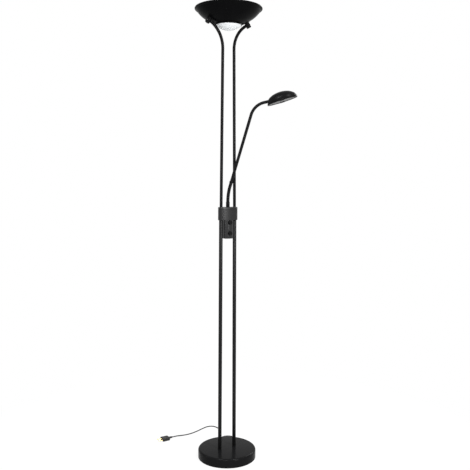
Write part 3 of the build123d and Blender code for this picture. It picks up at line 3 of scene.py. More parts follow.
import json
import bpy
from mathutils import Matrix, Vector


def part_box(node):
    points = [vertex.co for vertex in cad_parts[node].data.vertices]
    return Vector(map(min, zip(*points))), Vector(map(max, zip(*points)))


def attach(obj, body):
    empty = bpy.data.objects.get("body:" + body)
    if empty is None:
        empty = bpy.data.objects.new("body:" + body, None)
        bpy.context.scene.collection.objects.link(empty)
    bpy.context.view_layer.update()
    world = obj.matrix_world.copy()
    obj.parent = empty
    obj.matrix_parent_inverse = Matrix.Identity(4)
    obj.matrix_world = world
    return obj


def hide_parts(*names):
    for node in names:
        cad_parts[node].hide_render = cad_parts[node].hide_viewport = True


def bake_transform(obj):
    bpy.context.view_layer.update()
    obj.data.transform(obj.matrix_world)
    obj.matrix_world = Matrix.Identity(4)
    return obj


bl_info = {
    "name": "Uplighter with Reading Light",
    "version": (1, 0, 0),
    "blender": (4, 5, 0),
    "location": "View3D > Sidebar > Lamp",
    "description": "Models a twin-pole uplighter and its reading light, with their finishes",
    "category": "Add Mesh",
}

from math import acos, atan2, copysign, cos, pi, radians, sin, tan

import bpy
from bpy.props import FloatProperty, FloatVectorProperty, IntProperty, PointerProperty
from bpy.types import Operator, Panel, PropertyGroup
from mathutils import Matrix, Vector

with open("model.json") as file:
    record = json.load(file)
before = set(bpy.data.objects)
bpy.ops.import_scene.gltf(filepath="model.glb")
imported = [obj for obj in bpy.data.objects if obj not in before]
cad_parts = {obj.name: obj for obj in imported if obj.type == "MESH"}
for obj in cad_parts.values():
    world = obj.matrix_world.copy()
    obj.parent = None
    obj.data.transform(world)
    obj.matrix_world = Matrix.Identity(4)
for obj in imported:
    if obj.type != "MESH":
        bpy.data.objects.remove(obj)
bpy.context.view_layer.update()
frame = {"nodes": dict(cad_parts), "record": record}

# ---------------------------------------------------------------- places, in metres

MM = 0.001
UP = Vector((0, 0, 1))
FORWARD = Vector((0, -1, 0))
SIDES = ((1, "right"), (-1, "left"))

# Base and poles: a pole's place is the (x, z) of the right-hand one of its pair
BASE_RADIUS = 0.118
BASE_HEIGHT = 0.038
BASE_WALL = 0.0015
LOWER_POLE_RADIUS = 0.0075
LOWER_POLE_FOOT = (0.0336, BASE_HEIGHT)
LOWER_POLE_HEAD = (0.0311, 1.0019)
UPPER_POLE_RADIUS = 0.006
UPPER_POLE_FOOT = (0.0307, 1.005)
UPPER_POLE_KNEE = (0.0252, 1.6435)
POLE_BEND = 0.113
POLE_FLARE = radians(58)
POLE_END_RUN = 0.005

# Collar and control housing
COLLAR_BOTTOM = 0.976
CAP_BOTTOM = 1.020
COLLAR_TOP = 1.028
COLLAR_SEAM = 0.0006
COLLAR_GROOVE = 2.5 * COLLAR_SEAM
HOUSING_BOTTOM = 0.902
KNOB_FACE = -0.0179
KNOB_HEIGHTS = {"knob_upper": 0.967, "knob_lower": 0.924}

# Bowl: its sheet's outer line is given as (radius, height)
RIM_HEIGHT = 1.8
LEDGE_HEIGHT = 1.7395
BOWL_NECK_RADIUS = 0.0515
BOWL_NECK_BOTTOM = 1.733
BOWL_LINE = ((0.058, LEDGE_HEIGHT), (0.0748, 1.74778), (0.09146, 1.75803), (0.10798, 1.77035),
             (0.121, 1.7843), (0.128, 1.794))
BEAD_RADIUS_AT = 0.128
WINDOW_BALL = 0.07476
WINDOW_BOTTOM = 1.7146
KNUCKLE_X, KNUCKLE_Z = 0.086965, 1.745708
KNUCKLE_OUT = (0.53, -0.848)

# Reading arm: it rises from a ferrule on the collar, leans, and bends over to the head
ARM_AZIMUTH = radians(-35)
ARM_ACROSS = Vector((-sin(ARM_AZIMUTH), cos(ARM_AZIMUTH), 0))
FERRULE_BOTTOM = COLLAR_TOP + 0.0003
FERRULE_TOP = FERRULE_BOTTOM + 0.020
NECK_RADIUS = 0.0065
NECK_LEAN = radians(16.3)
NECK_FOOT = 0.002
NECK_ARC = 0.217
NECK_HEAD = 0.0125
ARM_STRAIGHT = 0.278
ARM_BEND = 0.0685
ARM_RISE = radians(12)
ARM_END_RUN = 0.028

# Reading head: an ellipsoid cut by the plane of its rim and by the plane of its rear cap
HEAD_PITCH = radians(17)
REAR_LEAN = radians(24.7)
HEAD_FRONT = 0.1215
ARM_INTO_HEAD = 0.0156
SOCKET_FORWARD, SOCKET_UP = 0.0074, 0.0155
DOME_LENGTH, DOME_WIDTH, DOME_RISE = 0.06175, 0.043, 0.0365
DOME_MIDDLE = HEAD_FRONT - DOME_LENGTH
RIM_LIFT = 0.0015

# The opening in the head's bezel, and the lens behind it: half length, half width and rear edge
BEZEL_DEPTH = 0.0014
OPENING = (0.05675, 0.038, 0.011)
LENS = (0.05795, 0.0392, 0.008)
LENS_FACES = (0.0016, 0.004)


def arm_point(r, z):
    """The point r out from the swivel at height z, in the arm's upright plane."""
    return Vector((r * cos(ARM_AZIMUTH), r * sin(ARM_AZIMUTH), z))


def arm_direction(rise):
    """The unit vector in the arm's plane that rises by this angle."""
    return arm_point(cos(rise), sin(rise))


def leaned(point, distance):
    """The (r, z) point this far on from another, along the arm's leaning run."""
    return point[0] + distance * sin(NECK_LEAN), point[1] + distance * cos(NECK_LEAN)


def frame_matrix(origin, x_axis, z_axis):
    """The matrix that puts an upright piece at this origin, with these axes."""
    z_axis = Vector(z_axis).normalized()
    y_axis = z_axis.cross(Vector(x_axis)).normalized()
    x_axis = y_axis.cross(z_axis)
    turn = Matrix((x_axis, y_axis, z_axis)).transposed().to_4x4()
    return Matrix.Translation(origin) @ turn


def knuckle_frame(side):
    """A knuckle's middle and its outward axis, on the right (1) or the left (-1)."""
    out, down = KNUCKLE_OUT
    return Vector((side * KNUCKLE_X, 0, KNUCKLE_Z)), Vector((side * out, 0, down))


neck_bend_end = (NECK_ARC * (1 - cos(NECK_LEAN)),
                 FERRULE_TOP + NECK_FOOT + NECK_ARC * sin(NECK_LEAN))
neck_top = leaned(neck_bend_end, NECK_HEAD)
tube_knee = leaned(neck_top, ARM_STRAIGHT)
bend_centre = (tube_knee[0] + ARM_BEND * cos(NECK_LEAN),
               tube_knee[1] - ARM_BEND * sin(NECK_LEAN))
bend_end = (bend_centre[0] - ARM_BEND * sin(ARM_RISE),
            bend_centre[1] + ARM_BEND * cos(ARM_RISE))
head_entry = arm_point(*bend_end) + arm_direction(ARM_RISE) * ARM_INTO_HEAD
head_forward = arm_direction(HEAD_PITCH)
head_up = arm_direction(HEAD_PITCH + pi / 2)
head_origin = head_entry - head_forward * SOCKET_FORWARD - head_up * SOCKET_UP
head_frame = frame_matrix(head_origin, head_forward, head_up)

# The free cord's route, from the strain relief to the plug
CORD_RADIUS = 0.0024
RELIEF_LENGTH = 0.022
RELIEF_HEIGHT = 0.0075
RELIEF_AZIMUTH = radians(80)
COIL_CENTRE = Vector((0.0795, 0.1356, 0))
COIL_INNER = 0.016
COIL_PITCH = 0.0053
COIL_LAYER = 11 / 3
COIL_LOW = 0.003
COIL_POINTS = 96
COIL_SHRINK = 0.966  # the spline runs this much inside its control points
TIE_ANGLE = radians(-30)
relief_out = Vector((cos(RELIEF_AZIMUTH), sin(RELIEF_AZIMUTH), 0))
relief_root = relief_out * BASE_RADIUS + Vector((0, 0, RELIEF_HEIGHT))
relief_tip = relief_root + relief_out * RELIEF_LENGTH
LEAD_MM = (
    (29.5, 155.0, 6.4), (34.6, 161.1, 4.8), (41.9, 166.4, 3.6), (51.1, 170.1, 3.0),
    (63.7, 171.033, 3.0), (74.7, 171.3, 3.0))
TAIL_MM = (
    (51.22, 157.47, 8.3), (55.97, 165.70, 8.3), (62.9, 178.5, 9.3), (71.9, 192.9, 6.0),
    (82.9, 208.5, 2.4), (94.2, 226.2, 2.4), (102.4, 243.4, 2.4), (107.2, 262.6, 2.4),
    (108.4, 283.8, 2.4), (101.8, 304.4, 2.4), (86.1, 315.2, 2.4), (65.9, 314.1, 2.4),
    (43.9, 306.0, 2.4), (11.2, 291.4, 2.4), (-21.7, 280.4, 2.4), (-48.8, 277.6, 2.4),
    (-75.1, 276.0, 4.6), (-97.9, 276.5, 6.85), (-121.4, 275.7, 6.85))

# Studio lamps: place, the point they face, width and height, and watts
LAMPS = {
    "key_light": ((0.55, -3.2, 1.8), (0, 0, 1.2), (0.35, 1.6), 80),
    "high_right_light": ((0.57, -2.13, 4.2), (0, 0, 0.4), (0.6, 0.6), 110),
    "high_left_light": ((-2.03, -0.86, 4.2), (0, 0, 0.4), (0.6, 0.6), 110),
    "front_light": ((-1.75, -2.75, 1.85), (0, 0, 1.2), (0.4, 1.6), 45),
    "right_light": ((2.5, 0.7, 2.2), (0, 0, 1.2), (0.5, 1.6), 60),
    "left_light": ((-2.3, 1.5, 2.2), (0, 0, 1.2), (0.5, 1.6), 12),
}

# The camera that fits the photograph: its focal length is in pixels of the picture's side
PICTURE_SIDE = 470
FOCAL_PIXELS = 649
SENSOR_WIDTH = 36
CAMERA_PLACE = (-1.2673, -2.2533, 1.148)
CAMERA_PITCH, CAMERA_YAW, CAMERA_ROLL = radians(5.13), radians(30), radians(0.286)

# ---------------------------------------------------------------- shader maths and nodes


class Amount:
    """A number that changes over a surface, written in plain arithmetic."""

    def __init__(self, finish, socket):
        self.finish = finish
        self.socket = socket

    def _math(self, operation, *values, clamp=False):
        settings = {"operation": operation, "use_clamp": clamp}
        socket = self.finish.node("ShaderNodeMath", settings, dict(enumerate(values)))
        return Amount(self.finish, socket)

    def __add__(self, other):
        return self._math("ADD", self, other)

    def __radd__(self, other):
        return self._math("ADD", other, self)

    def __sub__(self, other):
        return self._math("SUBTRACT", self, other)

    def __rsub__(self, other):
        return self._math("SUBTRACT", other, self)

    def __mul__(self, other):
        return self._math("MULTIPLY", self, other)

    def __rmul__(self, other):
        return self._math("MULTIPLY", other, self)

    def __pow__(self, other):
        return self._math("POWER", self, other)

    def clamped(self):
        """The same number, held between 0 and 1."""
        return self._math("ADD", self, 0, clamp=True)


class Finish:
    """The nodes of a material or of the world."""

    def __init__(self, owner):
        self.owner = owner
        owner.use_nodes = True
        self.tree = owner.node_tree
        self.tree.nodes.clear()

    def feed(self, socket, value):
        """Links a socket to an amount or an output, or gives it a plain value."""
        if isinstance(value, Amount):
            value = value.socket
        if isinstance(value, bpy.types.NodeSocket):
            self.tree.links.new(value, socket)
        elif socket.type == "RGBA":
            socket.default_value = (*value[:3], 1)
        else:
            socket.default_value = value

    def node(self, kind, settings=None, sockets=None, output=0):
        """One output of a new node, with its settings made first and its sockets filled next."""
        node = self.tree.nodes.new(kind)
        for name, value in (settings or {}).items():
            setattr(node, name, value)
        for name, value in (sockets or {}).items():
            self.feed(node.inputs[name], value)
        return node.outputs[output] if node.outputs else node

    def place(self):
        """The piece's own coordinates."""
        return self.node("ShaderNodeTexCoord", output="Object")

    def stretched(self, scale):
        """The piece's own coordinates, scaled along each axis."""
        sockets = {"Vector": self.place(), "Scale": scale}
        return self.node("ShaderNodeMapping", {"vector_type": "POINT"}, sockets)

    def noise(self, scale, detail, roughness, place=None):
        """Noise of this scale, detail and roughness, about 0.5 on average."""
        sockets = {"Vector": place or self.place(), "Scale": scale, "Detail": detail,
                   "Roughness": roughness}
        return Amount(self, self.node("ShaderNodeTexNoise", None, sockets))

    def mixed(self, amount, first, second):
        """The first colour at 0, the second at 1."""
        sockets = {0: amount, 6: first, 7: second}
        return self.node("ShaderNodeMix", {"data_type": "RGBA"}, sockets, 2)

    def bump(self, height, distance, strength):
        """A normal tilted by a height that is this many metres deep."""
        sockets = {"Strength": strength, "Distance": distance, "Height": height}
        return self.node("ShaderNodeBump", None, sockets)

    def surface(self, **sockets):
        """The finished material, with these sockets of the shader filled."""
        sockets = {name.replace("_", " "): value for name, value in sockets.items()}
        shader = self.node("ShaderNodeBsdfPrincipled", None, sockets)
        self.node("ShaderNodeOutputMaterial", None, {"Surface": shader})
        return self.owner


def new_finish(name):
    """A new material's nodes."""
    return Finish(bpy.data.materials.new(name))


def tinted(colour, factor):
    """The colour, lighter or darker by a factor."""
    return tuple(c * factor for c in colour[:3])


def seen_rays(f):
    """1 for the rays that see the background: from the camera, or by way of metal or glass."""
    kinds = ("Is Camera Ray", "Is Glossy Ray", "Is Transmission Ray")
    camera, glossy, passed = (
        Amount(f, f.node("ShaderNodeLightPath", output=kind)) for kind in kinds)
    return (camera + glossy + passed).clamped()


# ---------------------------------------------------------------- finishes


def coated_metal(name, colour, roughness, gloss):
    """A baked coat on metal: a fine even stipple, slow changes of gloss and a little dust."""
    f = new_finish(name)
    stipple = f.noise(2200, 2, 0.55)
    drift = f.noise(9, 2, 0.5)
    dust = f.noise(90, 5, 0.7)
    return f.surface(
        Base_Color=f.mixed((dust - 0.45).clamped() * 0.35, tinted(colour, 1), tinted(colour, 1.7)),
        Roughness=(drift - 0.5) * 0.1 + (stipple - 0.5) * 0.04 + roughness,
        Normal=f.bump(stipple, 0.000012, 0.3),
        Specular_IOR_Level=gloss,
    )


def moulded_plastic(name, colour, roughness, gloss=0.4):
    """Moulded plastic with a fine spark-eroded grain."""
    f = new_finish(name)
    grain = f.noise(2600, 1, 0.5)
    drift = f.noise(22, 2, 0.5)
    return f.surface(
        Base_Color=f.mixed(drift, tinted(colour, 0.93), tinted(colour, 1.07)),
        Roughness=(drift - 0.5) * 0.08 + (grain - 0.5) * 0.04 + roughness,
        Normal=f.bump(grain, 0.00001, 0.3),
        Specular_IOR_Level=gloss,
    )


def plain_steel(name, colour, roughness):
    """Bare metal with fine scratches drawn across its upright faces."""
    f = new_finish(name)
    scratch = f.noise(180, 3, 0.6, f.stretched((1, 1, 30)))
    drift = f.noise(60, 3, 0.6)
    return f.surface(
        Base_Color=f.mixed(drift, tinted(colour, 0.85), tinted(colour, 1.05)),
        Metallic=1.0,
        Roughness=(scratch - 0.5) * 0.2 + roughness,
        Normal=f.bump(scratch, 0.00004, 0.3),
    )


def cast_iron(name, colour):
    """Rough cast iron with spots of rust."""
    f = new_finish(name)
    pits = f.noise(420, 5, 0.65)
    rust = f.noise(34, 4, 0.6)
    return f.surface(
        Base_Color=f.mixed((rust * 2 - 1.05).clamped(), tinted(colour, 1), (0.2, 0.11, 0.06)),
        Metallic=0.6,
        Roughness=pits * 0.3 + 0.55,
        Normal=f.bump(pits, 0.0004, 0.6),
    )


def felt(name, colour):
    """Pressed felt with loose tufts."""
    f = new_finish(name)
    fibre = f.noise(900, 6, 0.75)
    tuft = f.noise(160, 3, 0.6)
    return f.surface(
        Base_Color=f.mixed(fibre, tinted(colour, 0.6), tinted(colour, 1.6)),
        Roughness=0.95,
        Sheen_Weight=0.3,
        Normal=f.bump(fibre * 0.7 + tuft * 0.3, 0.0006, 0.8),
    )


def frosted_glass(name, colour, roughness=0.55):
    """Milky glass with an etched face, through which a little light passes."""
    f = new_finish(name)
    frost = f.noise(1500, 3, 0.6)
    return f.surface(
        Base_Color=colour,
        Roughness=(frost - 0.5) * 0.05 + roughness,
        Transmission_Weight=0.12,
        IOR=1.45,
        Normal=f.bump(frost, 0.00001, 0.3),
    )


def clear_glass(name, colour):
    """Clear pressed glass with a faint ripple."""
    f = new_finish(name)
    ripple = f.noise(30, 2, 0.4)
    return f.surface(
        Base_Color=colour,
        Roughness=ripple * 0.03 + 0.01,
        Transmission_Weight=1.0,
        IOR=1.47,
        Normal=f.bump(ripple, 0.0004, 0.05),
    )


def glazed_ceramic(name, colour):
    """Pale ceramic with a fine speckle under its glaze."""
    f = new_finish(name)
    speckle = f.noise(700, 3, 0.6)
    return f.surface(
        Base_Color=f.mixed(speckle, tinted(colour, 0.9), tinted(colour, 1.0)),
        Roughness=speckle * 0.2 + 0.4,
        Normal=f.bump(speckle, 0.0001, 0.3),
    )


def cord_jacket(name, colour):
    """A smooth flexible jacket with faint streaks."""
    f = new_finish(name)
    streak = f.noise(300, 3, 0.6)
    drift = f.noise(40, 2, 0.5)
    return f.surface(
        Base_Color=f.mixed(drift, tinted(colour, 0.85), tinted(colour, 1.2)),
        Roughness=(streak - 0.5) * 0.15 + 0.42,
        Normal=f.bump(streak, 0.00006, 0.3),
        Specular_IOR_Level=0.2,
    )


# Each look's maker, its colour (or the name of a colour that a user may change), and its values
LOOKS = {
    "black_metal": (coated_metal, "frame_coat", 0.2, 0.028),
    "lower_pole_metal": (coated_metal, "lower_coat", 0.34, 0.13),
    "bowl_metal": (coated_metal, "bowl_coat", 0.3, 0.015),
    "collar_metal": (coated_metal, "collar_coat", 0.32, 0.27),
    "housing_plastic": (moulded_plastic, "housing", 0.32, 0.3),
    "knob_plastic": (moulded_plastic, "knob", 0.4, 0.08),
    "cord_plastic": (cord_jacket, "cord"),
    "head_plastic": (moulded_plastic, "head", 0.32, 0.03),
    "bezel_plastic": (moulded_plastic, "head", 0.3, 0.03),
    "frosted_glass": (frosted_glass, "frosted"),
    "clear_glass": (clear_glass, (0.96, 0.98, 0.97)),
    "lens_glass": (frosted_glass, "lens", 0.4),
    "lamp_glass": (frosted_glass, (0.85, 0.86, 0.86), 0.3),
    "reflector_metal": (plain_steel, (0.82, 0.83, 0.84), 0.22),
    "steel": (plain_steel, (0.5, 0.5, 0.5), 0.35),
    "brass": (plain_steel, (0.7, 0.52, 0.24), 0.3),
    "plated": (plain_steel, (0.66, 0.65, 0.62), 0.25),
    "cast_weight": (cast_iron, (0.07, 0.068, 0.066)),
    "felt": (felt, (0.03, 0.03, 0.032)),
    "ceramic": (glazed_ceramic, (0.78, 0.77, 0.72)),
    "board": (moulded_plastic, (0.16, 0.22, 0.09), 0.5),
    "parts_plastic": (moulded_plastic, (0.05, 0.07, 0.12), 0.4),
    "wire_plastic": (moulded_plastic, (0.35, 0.34, 0.31), 0.4),
    "aluminium_block": (plain_steel, (0.62, 0.63, 0.64), 0.4),
}


def finish(look):
    """The material of this look, made when it is first asked for."""
    name = f"finish_{look}"
    made = bpy.data.materials.get(name)
    if made is None:
        maker, colour, *values = LOOKS[look]
        if isinstance(colour, str):
            colour = getattr(bpy.context.scene.lamp_colours, colour)
        made = maker(name, colour, *values)
    return made


# ---------------------------------------------------------------- modelling by hand


def start_clean():
    """Leaves edit mode and deselects everything."""
    if bpy.context.mode != "OBJECT":
        bpy.ops.object.mode_set(mode="OBJECT")
    bpy.ops.object.select_all(action="DESELECT")


def pick(piece):
    """Selects one piece alone and makes it active."""
    start_clean()
    piece.select_set(True)
    bpy.context.view_layer.objects.active = piece


def named(name):
    """The active piece, with its object and mesh named."""
    piece = bpy.context.object
    piece.name = name
    piece.data.name = name
    return piece


def choose(piece, kind, test):
    """In edit mode, selects the vertices or the polygons that pass the test."""
    bpy.ops.mesh.select_mode(type={"vertices": "VERT", "polygons": "FACE"}[kind])
    bpy.ops.mesh.select_all(action="DESELECT")
    bpy.ops.object.mode_set(mode="OBJECT")
    for item in getattr(piece.data, kind):
        item.select = test(item.co) if kind == "vertices" else test(item.center, item.normal)
    bpy.ops.object.mode_set(mode="EDIT")


def cleaned():
    """In edit mode, merges doubled vertices and turns the faces outwards."""
    bpy.ops.mesh.select_all(action="SELECT")
    bpy.ops.mesh.remove_doubles(threshold=1e-6)
    bpy.ops.mesh.normals_make_consistent(inside=False)


def finished(piece, node_names, body, slot, matrix=None, smooth=35, look=None):
    """Cleans the mesh, puts the piece in its place, ties it to its body and hides the imported
    nodes it stands for.

    Its look is the slot's own, unless another is given. Without a body it is left unattached.
    """
    pick(piece)
    bpy.ops.object.mode_set(mode="EDIT")
    cleaned()
    bpy.ops.object.mode_set(mode="OBJECT")
    if matrix is not None:
        piece.matrix_world = matrix @ piece.matrix_world
    bpy.ops.object.transform_apply(location=True, rotation=True, scale=True)
    bpy.ops.object.shade_smooth_by_angle(angle=radians(smooth))
    piece.data.materials.clear()
    piece.data.materials.append(finish(look or slot))
    if body:
        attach(piece, body)
    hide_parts(*node_names)
    return piece


def turned(name, profile, sides=64, closed=False):
    """A shape turned about Z: a ring is extruded and scaled through (radius, height) stations."""
    start_clean()
    profile = list(profile)
    from_middle = profile[0][0] == 0
    first = profile[1] if from_middle else profile[0]
    fill = "TRIFAN" if from_middle else "NOTHING"
    bpy.ops.mesh.primitive_circle_add(vertices=sides, radius=first[0], fill_type=fill,
                                      location=(0, 0, 0))
    piece = named(name)
    bpy.ops.object.mode_set(mode="EDIT")
    bpy.ops.mesh.select_all(action="SELECT")
    bpy.ops.transform.translate(value=(0, 0, first[1]))
    if from_middle:
        choose(piece, "vertices", lambda co: co.xy.length < first[0] / 2)
        bpy.ops.transform.translate(value=(0, 0, profile[0][1] - first[1]))
        choose(piece, "vertices", lambda co: co.xy.length > first[0] / 2)
        profile = profile[1:]
        bpy.ops.mesh.select_mode(type="EDGE")
    else:
        bpy.ops.mesh.select_mode(type="EDGE")
        bpy.ops.mesh.select_all(action="SELECT")
    for (r0, z0), (r1, z1) in zip(profile, profile[1:]):
        bpy.ops.mesh.extrude_region_move(TRANSFORM_OT_translate={"value": (0, 0, z1 - z0)})
        share = max(r1, 1e-7) / r0
        if abs(share - 1) > 1e-9:
            bpy.ops.transform.resize(value=(share, share, 1), center_override=(0, 0, z1))
        if r1 == 0:
            bpy.ops.mesh.merge(type="CENTER")
    if closed:
        bpy.ops.mesh.select_all(action="SELECT")
        bpy.ops.mesh.remove_doubles(threshold=1e-6)
    bpy.ops.object.mode_set(mode="OBJECT")
    return piece


def swung(arm, turn, steps):
    """A flat vector in steps of a turn, clockwise when the turn is positive."""
    return [Matrix.Rotation(-turn * k / steps, 2) @ arm for k in range(steps + 1)]


def corner(before, here, after, radius, steps):
    """How far an arc of this radius reaches along a corner's sides, and the arc's points."""
    before, after = (before - here).normalized(), (after - here).normalized()
    half = before.angle(after) / 2
    reach = radius / tan(half)
    middle = here + (before + after).normalized() * (radius / sin(half))
    first, last = here + before * reach - middle, here + after * reach - middle
    return reach, [middle + p for p in swung(first, first.angle_signed(last), steps)]


def rounded(profile, radius_at, steps=4):
    """The profile with an arc of its own radius at each numbered corner."""
    points = [Vector(p) for p in profile]
    out = []
    for i, here in enumerate(points):
        if radius_at.get(i):
            after = points[(i + 1) % len(points)]
            out += map(tuple, corner(points[i - 1], here, after, radius_at[i], steps)[1])
        else:
            out.append(tuple(profile[i]))
    return out


def tube(name, radius, runs, start, heading, across, sides):
    """A tube from straight runs and bends: a ring is extruded along runs and spun round bends."""
    start_clean()
    bpy.ops.mesh.primitive_circle_add(vertices=sides, radius=radius, fill_type="NGON")
    piece = named(name)
    piece.matrix_world = frame_matrix(start, across, heading)
    bpy.ops.object.transform_apply(location=True, rotation=True, scale=True)
    bpy.ops.object.mode_set(mode="EDIT")
    bpy.ops.mesh.select_mode(type="FACE")
    bpy.ops.mesh.select_all(action="SELECT")
    at, along = Vector(start), Vector(heading).normalized()
    for kind, *values in runs:
        if kind == "run":
            step = along * values[0]
            bpy.ops.mesh.extrude_region_move(TRANSFORM_OT_translate={"value": step})
            at = at + step
        else:
            bend, angle, axis, steps = values
            centre = at + axis.cross(along) * bend
            bpy.ops.mesh.spin(steps=steps, angle=-angle, center=centre, axis=axis)
            turn = Matrix.Rotation(angle, 3, axis)
            at = centre + turn @ (at - centre)
            along = turn @ along
    bpy.ops.object.mode_set(mode="OBJECT")
    return piece


def skinned(name, loops, capped=True, closed=False):
    """A ring is drawn to the first outline, then extruded and drawn to each of the next."""
    start_clean()
    fill = "NGON" if capped else "NOTHING"
    bpy.ops.mesh.primitive_circle_add(vertices=len(loops[0]), radius=1, fill_type=fill)
    piece = named(name)
    mesh = piece.data
    place = {}
    for i, point in enumerate(loops[0]):
        mesh.vertices[i].co = point
        place[i] = i
    for loop in loops[1:]:
        bpy.ops.object.mode_set(mode="EDIT")
        bpy.ops.mesh.select_mode(type="FACE" if capped else "EDGE")
        if len(place) == len(loops[0]):
            bpy.ops.mesh.select_all(action="SELECT")
        bpy.ops.mesh.extrude_region_move(TRANSFORM_OT_translate={"value": (0, 0, 0)})
        bpy.ops.object.mode_set(mode="OBJECT")
        for edge in mesh.edges:
            a, b = edge.vertices
            if mesh.vertices[a].select != mesh.vertices[b].select:
                new, old = (a, b) if mesh.vertices[a].select else (b, a)
                place[new] = place[old]
        for vertex in mesh.vertices:
            if vertex.select:
                vertex.co = loop[place[vertex.index]]
    if closed:
        bpy.ops.object.mode_set(mode="EDIT")
        bpy.ops.mesh.select_all(action="SELECT")
        bpy.ops.mesh.remove_doubles(threshold=1e-6)
        bpy.ops.object.mode_set(mode="OBJECT")
    return piece


def joined(pieces, name):
    """Several shapes made one piece."""
    start_clean()
    for piece in pieces:
        piece.select_set(True)
    bpy.context.view_layer.objects.active = pieces[0]
    bpy.ops.object.join()
    return named(name)


def edge_softened(piece, width, segments=2):
    """Rounds every sharp edge with an applied bevel."""
    pick(piece)
    bevel = piece.modifiers.new("edges", "BEVEL")
    bevel.width = width
    bevel.segments = segments
    bevel.limit_method = "ANGLE"
    bevel.angle_limit = radians(40)
    bevel.harden_normals = False
    bpy.ops.object.modifier_apply(modifier=bevel.name)


def cut_away(point, normal, fill=False):
    """In edit mode, cuts the mesh by a plane and takes away the side that its normal faces."""
    bpy.ops.mesh.select_all(action="SELECT")
    bpy.ops.mesh.bisect(plane_co=tuple(point), plane_no=tuple(normal), clear_outer=True,
                        use_fill=fill)


# ---------------------------------------------------------------- lines and outlines


def curve_line(points, steps):
    """A smooth line through these (radius, height) points."""
    points = [Vector(p) for p in points]
    ends = [points[0] * 2 - points[1], *points, points[-1] * 2 - points[-2]]
    out = []
    for a, b, c, d in zip(ends, ends[1:], ends[2:], ends[3:]):
        for k in range(steps):
            t = k / steps
            square = (a * 2 - b * 5 + c * 4 - d) * t**2
            cube = (b * 3 - a - c * 3 + d) * t**3
            out.append(tuple(((b * 2) + (c - a) * t + square + cube) / 2))
    return out + [tuple(points[-1])]


def drawn_in(line, distance):
    """A (radius, height) line moved this far to the left of its way."""
    out = []
    for i, (r, z) in enumerate(line):
        before, after = Vector(line[max(i - 1, 0)]), Vector(line[min(i + 1, len(line) - 1)])
        along = (after - before).normalized()
        out.append((r - along.y * distance, z + along.x * distance))
    return out


def ball_line(radius, middle, angle, steps=16):
    """Points up a ball's side, from its lowest point through this angle."""
    return [(radius * sin(angle * k / steps), middle - radius * cos(angle * k / steps))
            for k in range(steps + 1)]


def arc_through(first, middle, last, steps):
    """Points along the arc through three points of a plane."""
    (ax, ay), (bx, by), (cx, cy) = first, middle, last
    d = 2 * (ax * (by - cy) + bx * (cy - ay) + cx * (ay - by))
    a2, b2, c2 = ax * ax + ay * ay, bx * bx + by * by, cx * cx + cy * cy
    centre = Vector(((a2 * (by - cy) + b2 * (cy - ay) + c2 * (ay - by)) / d,
                     (a2 * (cx - bx) + b2 * (ax - cx) + c2 * (bx - ax)) / d))
    start, way, end = (Vector(p) - centre for p in (first, middle, last))
    turn = start.angle_signed(way) + way.angle_signed(end)
    return [centre + p for p in swung(start, turn, steps)]


def straight(first, last, steps):
    """Evenly spaced points from one to another."""
    a, b = Vector(first), Vector(last)
    return [a.lerp(b, k / steps) for k in range(steps + 1)]


def point_along(line, distance):
    """The point this far along a line of points."""
    for a, b in zip(line, line[1:]):
        run = (b - a).length
        if distance <= run:
            return a.lerp(b, distance / run)
        distance -= run
    return line[-1]


def rounded_outline(sides, radius, steps=6):
    """An outline from its sides, each a line of points, with its corners rounded."""
    corners = [corner(side[-2], side[-1], following[1], radius, steps)
               for side, following in zip(sides, sides[1:] + sides[:1])]
    out = []
    for i, side in enumerate(sides):
        length = sum((b - a).length for a, b in zip(side, side[1:]))
        first, last = corners[i - 1][0], length - corners[i][0]
        count = len(side)
        out += [point_along(side, first + (last - first) * k / count) for k in range(1, count)]
        out += corners[i][1]
    return out


def collar_outline(inset):
    """The collar's plan, drawn in by the inset."""
    flat, side = 0.024, 0.0172 - inset
    crown, end = 0.019 - inset, 0.042 - inset
    sides = [
        arc_through((-flat, -side), (0, -crown), (flat, -side), 16),
        arc_through((flat, -side), (end, 0), (flat, side), 16),
        arc_through((flat, side), (0, crown), (-flat, side), 16),
        arc_through((-flat, side), (-end, 0), (-flat, -side), 16),
    ]
    return rounded_outline(sides, 0.006 - inset)


def housing_outline(inset):
    """The control housing's plan, drawn in at its front and sides but not at its back."""
    wide, back, front, crown = 0.0203 - inset, 0.009, 0.0104 - inset * 0.8, 0.0175 - inset
    sides = [
        arc_through((-wide, -front), (0, -crown), (wide, -front), 24),
        straight((wide, -front), (wide, back), 8),
        straight((wide, back), (-wide, back), 8),
        straight((-wide, back), (-wide, -front), 8),
    ]
    return rounded_outline(sides, 0.003 - inset * 0.5)


def tie_outline(grow):
    """The section of the coil's tie across the cord's turns, drawn out by this much."""
    near = COIL_INNER + COIL_PITCH / 6 - 0.0032 - grow
    far = COIL_INNER + COIL_PITCH * 10 / 3 + 0.00275 + grow
    low, high = 0.00055 - grow, 0.01105 + grow
    sides = [straight((near, low), (far, low), 10), straight((far, low), (far, high), 6),
             straight((far, high), (near, high), 10), straight((near, high), (near, low), 6)]
    return rounded_outline(sides, 0.0015 + grow, 5)


def raised(outline, z):
    """A flat outline at this height."""
    return [Vector((x, y, z)) for x, y in outline]


def stacked(outline, stations):
    """An outline at each (inset, height) station."""
    return [raised(outline(inset), z) for inset, z in stations]


def quarter(steps):
    """Sine and cosine pairs round a quarter turn."""
    return [(sin(pi / 2 * k / steps), cos(pi / 2 * k / steps)) for k in range(steps + 1)]


def head_outline(length, width, height, rear):
    """The head's plan: an ellipse with a straight rear edge, drawn from it round the front."""
    start = pi - acos(min(1, (DOME_MIDDLE - rear) / length))
    loop = []
    for k in range(73):
        a = -start + 2 * start * k / 72
        loop.append(Vector((DOME_MIDDLE + length * cos(a), width * sin(a), height)))
    first, last = loop[0], loop[-1]
    return loop + [last.lerp(first, k / 8) for k in range(1, 8)]


